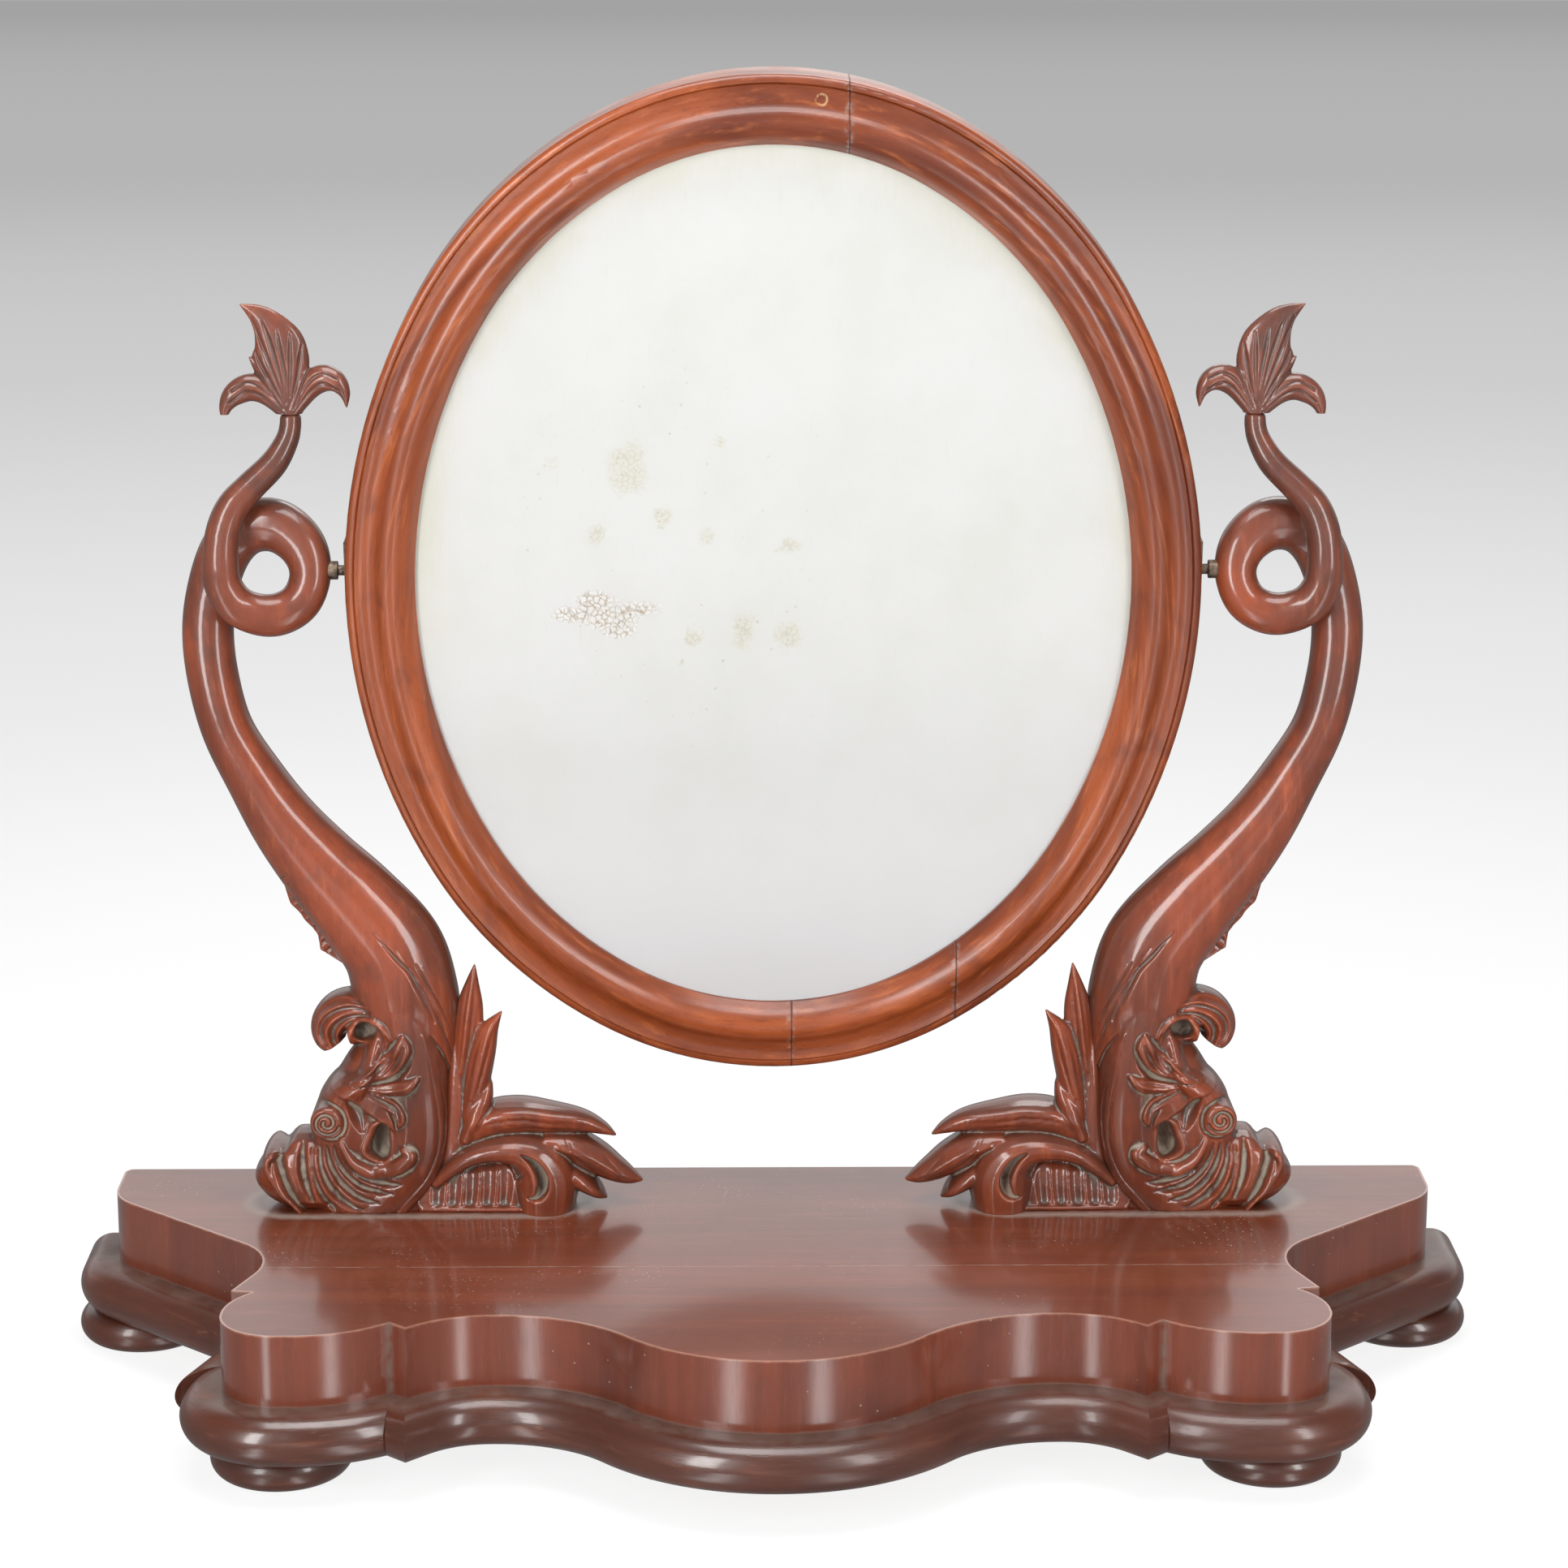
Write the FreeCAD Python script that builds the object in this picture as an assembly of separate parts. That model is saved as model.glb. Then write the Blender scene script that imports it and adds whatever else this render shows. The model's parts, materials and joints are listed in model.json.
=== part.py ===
# Oval dressing table mirror, swung between two carved dolphins on a serpentine platform.
# Millimetres, +Z up, the front faces -Y, the origin on the floor under the middle of the base.
import FreeCAD
import Part
import math
import os

# Platform
platform_width = 740.0
platform_depth = 303.0
fascia_height = 38.5
board_thickness = 12.0
seam_ahead = 166.0
veneer_thickness = 1.2

# Frame of rails under the platform boards, round one open well
well_half_width = 230.0
front_rail_depth = 103.0
back_rail_depth = 30.0

# Plinth and its half-round moulding
plinth_height = 27.0
plinth_reach = 22.0
plinth_tongue = 4.0

# Bun feet, each on a dowel
foot_diameter = 74.0
foot_height = 20.0
foot_pad_diameter = 50.0
foot_neck_diameter = 58.0
front_foot_inset = 29.5
front_foot_setback = 33.6
rear_foot_inset = 15.0
rear_foot_ahead = 38.0
foot_dowel_diameter = 14.0
foot_dowel_length = 28.0
foot_dowel_in_foot = 12.0

# Mirror frame, an oval of three jointed segments
frame_width = 458.8
frame_height = 552.0
moulding_width = 37.1
frame_depth = 33.0
frame_side_depth = 27.0
glass_seat_depth = 18.0
rebate_width = 8.0
centre_below_pivot = 9.5
tilt_degrees = 6.5
top_joint_x = 39.0
bottom_joint_x = 10.0
lower_joint_x = 101.0

# What lies behind the frame's lip
glass_thickness = 4.0
glass_play = 0.5
backboard_thickness = 6.0
backboard_lap = 18.0
glass_block_length = 30.0
glass_block_width = 6.0
glass_block_count = 10
backboard_screw_count = 12
backboard_screw_inset = 5.0
backboard_screw_diameter = 3.5
backboard_screw_length = 18.0

# Pivots
swing_clearance = 70.0
pivot_gap = 8.6
pin_diameter = 5.6
pin_in_scroll = 16.0
pin_in_frame = 12.0
pin_running_clearance = 0.05
pin_tip_clearance = 1.0
collar_diameter = 10.0
collar_length = 6.5
collar_sunk = 2.5
plate_height = 34.0
plate_width = 14.0
plate_thickness = 1.6
plate_proud = 0.4
plate_screw_diameter = 3.0
plate_screw_length = 14.0
plate_screw_spacing = 22.0

# Dolphin uprights
dolphin_ahead = 57.0
upright_screw_diameter = 5.0
upright_screw_length = 42.0
upright_screw_spacing = 26.0
tail_dowel_diameter = 4.0
tail_dowel_length = 20.0

# Fits
snug_clearance = 0.02
loose_clearance = 0.1
screw_head_ratio = 2.0
overrun = 60.0

# Levels and lines worked out from the sizes above
plinth_bottom = foot_height
plinth_top = plinth_bottom + plinth_height
platform_top = plinth_top + fascia_height
board_bottom = platform_top - board_thickness
half_platform = platform_width / 2
half_frame_width = frame_width / 2
half_frame_height = frame_height / 2
half_sight_width = half_frame_width - moulding_width
half_sight_height = half_frame_height - moulding_width
rear_y = (platform_depth + plinth_reach) / 2
dolphin_y = rear_y - dolphin_ahead
pivot_above_platform = half_frame_height + centre_below_pivot + swing_clearance
pivot_z = platform_top + pivot_above_platform
scroll_face_x = half_frame_width + pivot_gap
pin_radius = pin_diameter / 2
same_place = 1e-6
section_points = 12
side_arc_degrees = 30.0

# Platform outline, from the rear corner forward to the middle of the bow:
# share of the half width, share of the depth, share of the shorter run that the rounding takes.
outline_shares = [
    (1.0, 0.0, 0.14),
    (0.997, 0.168, 0.3),
    (0.717, 0.485, 0.53),
    (0.766, 0.662, 0.0),
    (0.7365, 0.670, 0.0),
    (0.769, 0.7155, 0.85),
    (0.769, 0.880, 0.64),
    (0.592, 0.880, 0.9),
    (0.5324, 0.818, 0.0),
    (0.508, 0.845, 0.0),
    (0.46, 0.7856, 0.95),
    (0.2762, 0.7856, 0.6),
    (0.123, 1.0, 0.52),
]
cusp_index = 3
side_notch_index = 4
lobe_front_index = 6
front_notch_index = 8
arris_index = 9

# Frame moulding from the sight edge outward:
# share of its width, share of its depth, share of the shorter run that the rounding takes.
moulding_shares = [
    (0.0, 0.62, 0.0),
    (0.135, 0.86, 0.45),
    (0.38, 1.02, 0.55),
    (0.66, 0.74, 0.7),
    (0.855, 0.83, 0.0),
    (0.87, 0.80, 0.0),
    (0.89, 0.83, 0.0),
]
bead_rounding_share = 0.8

# Dolphins. Each row is one cross-section of a swelling limb, in shares of the pivot's height
# above the platform: outward from the scroll's face, up from the platform, forward from the
# dolphin's own middle plane, half width and half thickness.
body_shares = [
    (-0.020, -0.030, 0.0, 0.095, 0.062),
    (-0.028, 0.030, 0.0, 0.128, 0.076),
    (-0.050, 0.100, 0.0, 0.130, 0.079),
    (-0.062, 0.160, 0.0, 0.120, 0.079),
    (-0.080, 0.215, 0.0, 0.098, 0.077),
    (-0.100, 0.275, 0.0, 0.078, 0.074),
    (-0.100, 0.335, 0.0, 0.082, 0.074),
    (-0.080, 0.410, 0.0, 0.079, 0.071),
    (-0.025, 0.482, 0.0, 0.072, 0.065),
    (0.028, 0.542, 0.0, 0.0635, 0.059),
    (0.078, 0.606, 0.0, 0.0545, 0.053),
    (0.121, 0.676, 0.0, 0.0460, 0.048),
    (0.163, 0.754, -0.004, 0.0403, 0.043),
    (0.184, 0.836, -0.010, 0.0397, 0.040),
    (0.190, 0.909, -0.018, 0.0395, 0.038),
    (0.180, 0.975, -0.024, 0.0390, 0.037),
    (0.158, 1.030, -0.026, 0.0400, 0.037),
    (0.124, 1.062, -0.024, 0.0410, 0.037),
    (0.080, 1.065, -0.018, 0.0410, 0.036),
    (0.043, 1.037, -0.009, 0.0370, 0.034),
]
tail_shares = [
    (0.043, 1.037, -0.009, 0.0370, 0.034),
    (0.030, 0.995, 0.0, 0.0318, 0.032),
    (0.047, 0.952, 0.009, 0.0320, 0.032),
    (0.088, 0.934, 0.018, 0.0330, 0.031),
    (0.134, 0.948, 0.028, 0.0310, 0.030),
    (0.157, 0.982, 0.035, 0.0290, 0.029),
    (0.160, 1.018, 0.037, 0.0275, 0.028),
    (0.156, 1.062, 0.035, 0.0262, 0.027),
    (0.141, 1.100, 0.029, 0.0250, 0.026),
    (0.115, 1.129, 0.022, 0.0232, 0.024),
    (0.079, 1.164, 0.014, 0.0214, 0.022),
    (0.059, 1.198, 0.007, 0.0182, 0.019),
    (0.0535, 1.220, 0.003, 0.0168, 0.0175),
    (0.0535, 1.238, 0.003, 0.0165, 0.0170),
]
snout_shares = [
    (-0.010, 0.070, 0.0, 0.050, 0.060),
    (0.040, 0.066, 0.0, 0.058, 0.066),
    (0.085, 0.062, 0.0, 0.058, 0.062),
    (0.118, 0.060, 0.0, 0.050, 0.054),
    (0.136, 0.058, 0.0, 0.034, 0.040),
    (0.141, 0.057, 0.0, 0.015, 0.020),
]
crest_shares = [
    (-0.060, 0.250, 0.0, 0.028, 0.046),
    (-0.030, 0.295, 0.0, 0.025, 0.048),
    (-0.012, 0.322, 0.0, 0.025, 0.048),
    (0.012, 0.333, 0.0, 0.025, 0.048),
    (0.030, 0.318, 0.0, 0.025, 0.047),
    (0.034, 0.292, 0.0, 0.024, 0.044),
    (0.022, 0.272, 0.0, 0.018, 0.036),
    (0.010, 0.268, 0.0, 0.009, 0.020),
]
dorsal_fin_shares = [
    (0.100, 0.575),
    (0.078, 0.476),
    (0.064, 0.463),
    (0.046, 0.440),
    (0.036, 0.427),
    (0.033, 0.403),
    (0.021, 0.396),
    (-0.020, 0.368),
    (-0.020, 0.480),
    (0.060, 0.575),
]
dorsal_fin_thickness_share = 0.017
dorsal_fin_forward_share = -0.02
eye_shares = (0.030, 0.148, 0.025, 0.079)

# Fin bracket on the dolphin's inner side
bracket_leaf_shares = {
    "upright": [
        (-0.190, 0.130, 0.010, 0.022, 0.030),
        (-0.192, 0.250, 0.012, 0.026, 0.024),
        (-0.197, 0.320, 0.014, 0.018, 0.018),
        (-0.204, 0.382, 0.018, 0.004, 0.006),
    ],
    "leaning": [
        (-0.195, 0.120, 0.012, 0.022, 0.034),
        (-0.218, 0.225, 0.016, 0.026, 0.026),
        (-0.232, 0.275, 0.020, 0.017, 0.018),
        (-0.245, 0.312, 0.025, 0.004, 0.006),
    ],
    "upper": [
        (-0.180, 0.110, 0.0, 0.028, 0.044),
        (-0.235, 0.145, 0.002, 0.034, 0.044),
        (-0.310, 0.150, 0.008, 0.028, 0.038),
        (-0.370, 0.136, 0.014, 0.021, 0.028),
        (-0.420, 0.110, 0.020, 0.004, 0.007),
    ],
    "lower": [
        (-0.290, 0.120, 0.010, 0.022, 0.040),
        (-0.370, 0.092, 0.014, 0.026, 0.034),
        (-0.430, 0.062, 0.018, 0.018, 0.022),
        (-0.462, 0.040, 0.020, 0.005, 0.008),
    ],
    "foot": [
        (-0.330, 0.050, 0.016, 0.030, 0.038),
        (-0.380, 0.024, 0.018, 0.020, 0.026),
        (-0.405, 0.012, 0.020, 0.006, 0.010),
    ],
    "arch": [
        (-0.175, 0.075, 0.014, 0.016, 0.058),
        (-0.220, 0.097, 0.014, 0.021, 0.060),
        (-0.270, 0.105, 0.014, 0.024, 0.060),
        (-0.312, 0.088, 0.014, 0.026, 0.060),
        (-0.330, 0.048, 0.014, 0.030, 0.060),
        (-0.318, 0.010, 0.014, 0.030, 0.058),
        (-0.312, -0.020, 0.014, 0.028, 0.056),
    ],
}
bracket_panel_shares = (-0.300, -0.150, 0.080, 0.052)

# Tail fluke, three leaves above the tail's end
fluke_leaf_shares = {
    "middle": [
        (0.0535, 1.225, 0.003, 0.0165, 0.0170),
        (0.0600, 1.280, 0.004, 0.0330, 0.0190),
        (0.0690, 1.335, 0.006, 0.0440, 0.0180),
        (0.0900, 1.375, 0.010, 0.0320, 0.0140),
        (0.1221, 1.402, 0.014, 0.0040, 0.0050),
    ],
    "outer": [
        (0.0600, 1.240, 0.003, 0.0140, 0.0160),
        (0.1000, 1.284, 0.008, 0.0210, 0.0180),
        (0.1390, 1.270, 0.014, 0.0190, 0.0160),
        (0.1500, 1.222, 0.018, 0.0040, 0.0050),
    ],
    "inner": [
        (0.0470, 1.245, 0.003, 0.0140, 0.0160),
        (0.0080, 1.294, 0.008, 0.0220, 0.0180),
        (-0.0250, 1.290, 0.014, 0.0180, 0.0160),
        (-0.0330, 1.248, 0.018, 0.0040, 0.0050),
    ],
}
upright_screw_share = -0.073


def at(x, y, z):
    return FreeCAD.Vector(x, y, z)


def unit(vector):
    return FreeCAD.Vector(vector).normalize()


def box(low, high):
    """Box between two opposite corners."""
    size = high.sub(low)
    return Part.makeBox(size.x, size.y, size.z, low)


def cylinder_along(start, end, radius):
    run = end.sub(start)
    return Part.makeCylinder(radius, run.Length, start, run)


def cut_by(shape, tools):
    """The shape with each tool cut from it in turn."""
    for tool in tools:
        shape = shape.cut(tool)
    return shape


def right_and_left(shape):
    """The shape made for the right-hand side, and its mirror image."""
    return {"right": shape, "left": shape.mirror(at(0, 0, 0), at(1, 0, 0))}


def on_both_sides(shapes):
    return [mirrored for shape in shapes for mirrored in right_and_left(shape).values()]


# Outlines made of straight runs and tangent arcs

def rounding_trims(corners, closed):
    """How far each corner's rounding takes up its runs, which two roundings share."""
    count = len(corners)
    runs = [corners[(index + 1) % count][0].sub(corners[index][0]).Length for index in range(count)]
    wanted = []
    for index, (point, share) in enumerate(corners):
        at_end = not closed and index in (0, count - 1)
        wanted.append(0 if at_end else share * min(runs[index - 1], runs[index]))
    trims = []
    for index, trim in enumerate(wanted):
        before = wanted[index - 1] + trim
        after = trim + wanted[(index + 1) % count]
        fit_before = runs[index - 1] / max(before, runs[index - 1])
        fit_after = runs[index] / max(after, runs[index])
        trims.append(trim * min(fit_before, fit_after))
    return trims


def rounded_edges(corners, closed):
    """Edges through the corners, each a point and the share of its shorter run to round off."""
    trims = []
    for index, trim in enumerate(rounding_trims(corners, closed)):
        point = corners[index][0]
        if trim == 0:
            trims.append((point, None, point))
            continue
        to_last = corners[index - 1][0].sub(point)
        to_next = corners[(index + 1) % len(corners)][0].sub(point)
        middle_way = unit(unit(to_last) + unit(to_next))
        half_angle = to_last.getAngle(middle_way)
        middle = point + middle_way * (trim / math.cos(half_angle) - trim * math.tan(half_angle))
        trims.append((point + unit(to_last) * trim, middle, point + unit(to_next) * trim))
    edges = []
    for index, (start, middle, end) in enumerate(trims):
        if middle is not None:
            edges.append(Part.Arc(start, middle, end).toShape())
        if index + 1 < len(trims) or closed:
            next_start = trims[(index + 1) % len(trims)][0]
            if next_start.sub(end).Length > same_place:
                edges.append(Part.makeLine(end, next_start))
    return edges


def outline_corner(index, side, height):
    across, ahead, rounding = outline_shares[index]
    point = at(side * across * half_platform, rear_y - ahead * platform_depth, height)
    return point, rounding


def platform_wire(height):
    """The whole platform outline at one height."""
    count = len(outline_shares)
    right = [outline_corner(index, 1, height) for index in range(count)]
    left = [outline_corner(index, -1, height) for index in reversed(range(count))]
    return Part.Wire(rounded_edges(right + left, True))


def platform_slab(inset, bottom, top):
    """Slab of the platform's outline, drawn in by an inset."""
    wire = platform_wire(bottom)
    if inset:
        wire = wire.makeOffset2D(-inset)
    return Part.Face(wire).extrude(at(0, 0, top - bottom))


def slab_between(x_low, x_high, ahead_low, ahead_high):
    """Tall block over a stretch of the platform, to divide pieces with."""
    low = at(x_low, rear_y - ahead_high, -overrun)
    return box(low, at(x_high, rear_y - ahead_low, platform_top + overrun))


far = platform_width
front_notch_x = outline_corner(front_notch_index, 1, 0)[0].x
side_notch = outline_corner(side_notch_index, 1, 0)[0]
lobe_corner = outline_corner(lobe_front_index, 1, 0)[0]
side_notch_ahead = rear_y - side_notch.y
screw_x = scroll_face_x + upright_screw_share * pivot_above_platform
well_front_ahead = platform_depth - front_rail_depth
well = slab_between(-well_half_width, well_half_width, back_rail_depth, well_front_ahead)

nodes = {}


# Platform boards, edge to edge

boards = platform_slab(veneer_thickness, board_bottom, platform_top)
rear_of_seam = slab_between(-far, far, -overrun, seam_ahead)
nodes["platform_rear_board"] = boards.common(rear_of_seam)
nodes["platform_front_board"] = boards.cut(rear_of_seam)

# Veneers round the fascia, with the back left bare

veneer_ring = platform_slab(0, plinth_top, platform_top)
veneer_ring = veneer_ring.cut(platform_slab(veneer_thickness, plinth_top, platform_top))
veneer_ring = veneer_ring.cut(slab_between(-far, far, -overrun, veneer_thickness))
middle_stretch = slab_between(-front_notch_x, front_notch_x, seam_ahead, far)
nodes["front_veneer"] = veneer_ring.common(middle_stretch)
lobe_stretch = slab_between(front_notch_x, far, side_notch_ahead, far)
side_stretch = slab_between(front_notch_x, far, -overrun, side_notch_ahead)
for name, stretch in (("lobe_veneer", lobe_stretch), ("side_veneer", side_stretch)):
    for side, shape in right_and_left(veneer_ring.common(stretch)).items():
        nodes[side + "_" + name] = shape


# Rails of the platform and of the plinth, round the same well

def rails(prefix, inset, bottom, top):
    ring = platform_slab(inset, bottom, top).cut(well)
    front = slab_between(-far, far, well_front_ahead, far)
    back = slab_between(-well_half_width, well_half_width, -overrun, back_rail_depth)
    nodes[prefix + "_front_rail"] = ring.common(front)
    nodes[prefix + "_back_rail"] = ring.common(back)
    right = slab_between(well_half_width, far, -overrun, well_front_ahead)
    for side, shape in right_and_left(ring.common(right)).items():
        nodes[prefix + "_" + side + "_rail"] = shape


rails("platform", veneer_thickness, plinth_top, board_bottom)
rails("plinth", plinth_tongue, plinth_bottom, plinth_top)


# Half-round plinth mouldings, mitred at the outline's sharp corners

def half_round(start, along):
    """Profile of the moulding, square to its path at the start."""
    outward = at(0, 0, 1).cross(along)
    radius = plinth_height / 2
    up = at(0, 0, plinth_height)
    inner = start - outward * plinth_tongue
    lip = start + outward * (plinth_reach - radius)
    swell = start + outward * plinth_reach + up / 2
    return Part.Wire([
        Part.makeLine(inner, lip),
        Part.Arc(lip, swell, lip + up).toShape(),
        Part.makeLine(lip + up, inner + up),
        Part.makeLine(inner + up, inner),
    ])


def mitre(run, corner, inside, outside):
    """Trim a run at a sharp corner, on the plane that halves the corner's angle."""
    to_inside = unit(inside - corner)
    halving = unit(to_inside + unit(outside - corner))
    toward = unit(to_inside - halving * to_inside.dot(halving))
    low = corner - halving * far - at(0, 0, overrun)
    wide = halving * (2 * far)
    points = [low, low + wide, low + wide + toward * far, low + toward * far, low]
    keep = Part.Face(Part.makePolygon(points)).extrude(at(0, 0, plinth_top + 2 * overrun))
    return run.common(keep)


def moulding_run(places):
    """Moulding along a chain of outline corners, given by index and side; the first and last
    are the neighbours that set the mitres, or None at an end that stops square."""
    chain = [outline_corner(index, side, plinth_bottom) for index, side in places[1:-1]]
    first, second = chain[0][0], chain[1][0]
    last, before_last = chain[-1][0], chain[-2][0]
    start = first + unit(first - second) * overrun
    end = last + unit(last - before_last) * overrun
    run_in = Part.makeLine(start, first)
    run_out = Part.makeLine(last, end)
    path = Part.Wire([run_in] + rounded_edges(chain, False) + [run_out])
    run = path.makePipeShell([half_round(start, unit(first - start))], True, False)
    if places[0] is not None:
        run = mitre(run, first, second, outline_corner(*places[0], plinth_bottom)[0])
    if places[-1] is not None:
        run = mitre(run, last, before_last, outline_corner(*places[-1], plinth_bottom)[0])
    return run


def right_hand(first, last):
    return [(index, 1) for index in range(first, last + 1)]


plinth_core = platform_slab(plinth_tongue, plinth_bottom, plinth_top)
behind_back = slab_between(-far, far, -far, 0)
bow_index = len(outline_shares) - 1
lobe_index = side_notch_index + 1
bow = right_hand(front_notch_index, bow_index)
bow += [(index, -1) for index, side in reversed(bow)]
side_run = moulding_run([None] + right_hand(0, side_notch_index))
side_return = moulding_run(right_hand(cusp_index - 1, lobe_index))
lobe_run = moulding_run(right_hand(cusp_index, arris_index))
bow_return = moulding_run(right_hand(front_notch_index - 1, arris_index + 1))
side_moulding = side_run.fuse(side_return).cut(behind_back).cut(plinth_core)
lobe_moulding = lobe_run.cut(plinth_core)
bow_returns = on_both_sides([bow_return])
nodes["front_moulding"] = moulding_run(bow).fuse(bow_returns).cut(plinth_core)
for name, shape in (("lobe_moulding", lobe_moulding), ("side_moulding", side_moulding)):
    for side, mirrored in right_and_left(shape).items():
        nodes[side + "_" + name] = mirrored


# Bun feet, dowelled into the plinth

def foot_profile_face():
    pad = at(foot_pad_diameter / 2, 0, 0)
    swell = at(foot_diameter / 2, 0, foot_height / 2)
    neck = at(foot_neck_diameter / 2, 0, foot_height)
    top = at(0, 0, foot_height)
    return Part.Face(Part.Wire([
        Part.makeLine(at(0, 0, 0), pad),
        Part.Arc(pad, swell, neck).toShape(),
        Part.makeLine(neck, top),
        Part.makeLine(top, at(0, 0, 0)),
    ]))


front_foot_x = lobe_corner.x - front_foot_inset
front_foot_y = lobe_corner.y + front_foot_setback
rear_foot_x = half_platform - rear_foot_inset
rear_foot_y = rear_y - rear_foot_ahead
foot_places = {
    "right_front": at(front_foot_x, front_foot_y, 0),
    "left_front": at(-front_foot_x, front_foot_y, 0),
    "right_rear": at(rear_foot_x, rear_foot_y, 0),
    "left_rear": at(-rear_foot_x, rear_foot_y, 0),
}
foot_dowel_bottom = foot_height - foot_dowel_in_foot
plain_foot = foot_profile_face().revolve(at(0, 0, 0), at(0, 0, 1), 360)
foot_dowels = []
foot_bores = []
for place in foot_places.values():
    low = place + at(0, 0, foot_dowel_bottom)
    high = low + at(0, 0, foot_dowel_length)
    foot_dowels.append(cylinder_along(low, high, foot_dowel_diameter / 2))
    foot_bores.append(cylinder_along(low, high, foot_dowel_diameter / 2 + snug_clearance))
for name, place in foot_places.items():
    nodes[name + "_foot"] = plain_foot.translated(place).cut(foot_bores)
nodes["foot_dowels"] = Part.Compound(foot_dowels)
for name in ("plinth_front_rail", "plinth_left_rail", "plinth_right_rail"):
    nodes[name] = nodes[name].cut(foot_bores)


# Dolphins, made for the right-hand side

def dolphin_point(out, up, forward):
    """Place on a dolphin, from its shares of the pivot's height."""
    unit_size = pivot_above_platform
    x = scroll_face_x + out * unit_size
    return at(x, dolphin_y - forward * unit_size, platform_top + up * unit_size)


def section_wire(centre, along, half_width, half_thickness):
    """Closed oval across a limb, its thickness lying fore and aft."""
    across = along.cross(at(0, 1, 0))
    points = []
    for step in range(section_points):
        angle = 2 * math.pi * step / section_points
        sideways = across * (half_width * math.cos(angle))
        points.append(centre + sideways + at(0, half_thickness * math.sin(angle), 0))
    curve = Part.BSplineCurve()
    curve.interpolate(points, PeriodicFlag=True)
    return Part.Wire(curve.toShape())


def limb(rows):
    """Swelling limb through its rows of shares."""
    centres = [dolphin_point(*row[:3]) for row in rows]
    wires = []
    for index, row in enumerate(rows):
        ahead = centres[min(index + 1, len(rows) - 1)]
        behind = centres[max(index - 1, 0)]
        along = ahead - behind
        along.y = 0
        half_width = row[3] * pivot_above_platform
        half_thickness = row[4] * pivot_above_platform
        wires.append(section_wire(centres[index], unit(along), half_width, half_thickness))
    return Part.makeLoft(wires, True, False)


def dolphin_plate(rows, middle_forward, thickness):
    """Flat plate of an outline, square to the front."""
    half = thickness / 2
    points = [dolphin_point(out, up, middle_forward + half) for out, up in rows]
    face = Part.Face(Part.makePolygon(points + points[:1]))
    return face.extrude(at(0, thickness * pivot_above_platform, 0))


def eye_boss():
    out, up, radius, reach = eye_shares
    start = dolphin_point(out, up, reach)
    end = dolphin_point(out, up, -reach)
    return cylinder_along(start, end, radius * pivot_above_platform)


def above(level):
    """Block above a level, wide enough for one dolphin."""
    return box(at(0, -far, level), at(far, far, pivot_z + far))


pivot_point = at(0, dolphin_y, pivot_z)
scroll_point = at(scroll_face_x, dolphin_y, pivot_z)
collar_start = scroll_point + at(collar_sunk - collar_length, 0, 0)
collar_end = scroll_point + at(collar_sunk, 0, 0)
pin_start = at(half_frame_width - pin_in_frame, dolphin_y, pivot_z)
pin_end = scroll_point + at(pin_in_scroll, 0, 0)
collar_radius = collar_diameter / 2
pin = cylinder_along(pin_start, pin_end, pin_radius)
collar = cylinder_along(collar_start, collar_end, collar_radius)
collar = collar.cut(cylinder_along(collar_start, collar_end, pin_radius + snug_clearance))
pin_bore = cylinder_along(pivot_point, pin_end, pin_radius + snug_clearance)
collar_bore = cylinder_along(pivot_point, collar_end, collar_radius + snug_clearance)

upright_screws = []
upright_screw_bores = []


def wood_screw(head, along, diameter, length, clearance):
    """Countersunk screw from the middle of its head, or the bore for it."""
    radius = diameter / 2 + clearance
    head_radius = screw_head_ratio * diameter / 2 + clearance
    head_depth = head_radius - radius
    cone = Part.makeCone(head_radius, radius, head_depth, head, along)
    return cone.fuse(cylinder_along(head, head + along * length, radius))


screw_way_radius = screw_head_ratio * upright_screw_diameter / 2 + loose_clearance
screw_ways = []
for fore_and_aft in (-1, 1):
    head = at(screw_x, dolphin_y + fore_and_aft * upright_screw_spacing / 2, board_bottom)
    up = at(0, 0, 1)
    screw_ways.append(cylinder_along(at(head.x, head.y, 0), head, screw_way_radius))
    upright_screws.append(wood_screw(head, up, upright_screw_diameter, upright_screw_length, 0))
    upright_screw_bores.append(
        wood_screw(head, up, upright_screw_diameter, upright_screw_length, snug_clearance))

tail_joint = dolphin_point(*tail_shares[-1][:3])
half_tail_dowel = at(0, 0, tail_dowel_length / 2)
tail_dowel_ends = (tail_joint - half_tail_dowel, tail_joint + half_tail_dowel)
tail_dowel = cylinder_along(*tail_dowel_ends, tail_dowel_diameter / 2)
tail_dowel_bore = cylinder_along(*tail_dowel_ends, tail_dowel_diameter / 2 + snug_clearance)

dorsal_fin = dolphin_plate(dorsal_fin_shares, dorsal_fin_forward_share, dorsal_fin_thickness_share)
dolphin = limb(body_shares).fuse([
    limb(tail_shares),
    limb(snout_shares),
    limb(crest_shares),
    dorsal_fin,
    eye_boss(),
])
dolphin = dolphin.common(above(platform_top))
dolphin = cut_by(dolphin, [pin_bore, collar_bore, tail_dowel_bore] + upright_screw_bores)

panel_inner, panel_outer, panel_top, panel_half_thickness = bracket_panel_shares
bracket_panel = box(
    dolphin_point(panel_inner, 0, panel_half_thickness),
    dolphin_point(panel_outer, panel_top, -panel_half_thickness),
)
bracket = bracket_panel.fuse([limb(rows) for rows in bracket_leaf_shares.values()])
bracket = bracket.common(above(platform_top)).cut(dolphin)

fluke_leaves = [limb(rows) for rows in fluke_leaf_shares.values()]
fluke = fluke_leaves[0].fuse(fluke_leaves[1:])
fluke = fluke.common(above(tail_joint.z)).cut(tail_dowel_bore)

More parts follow.
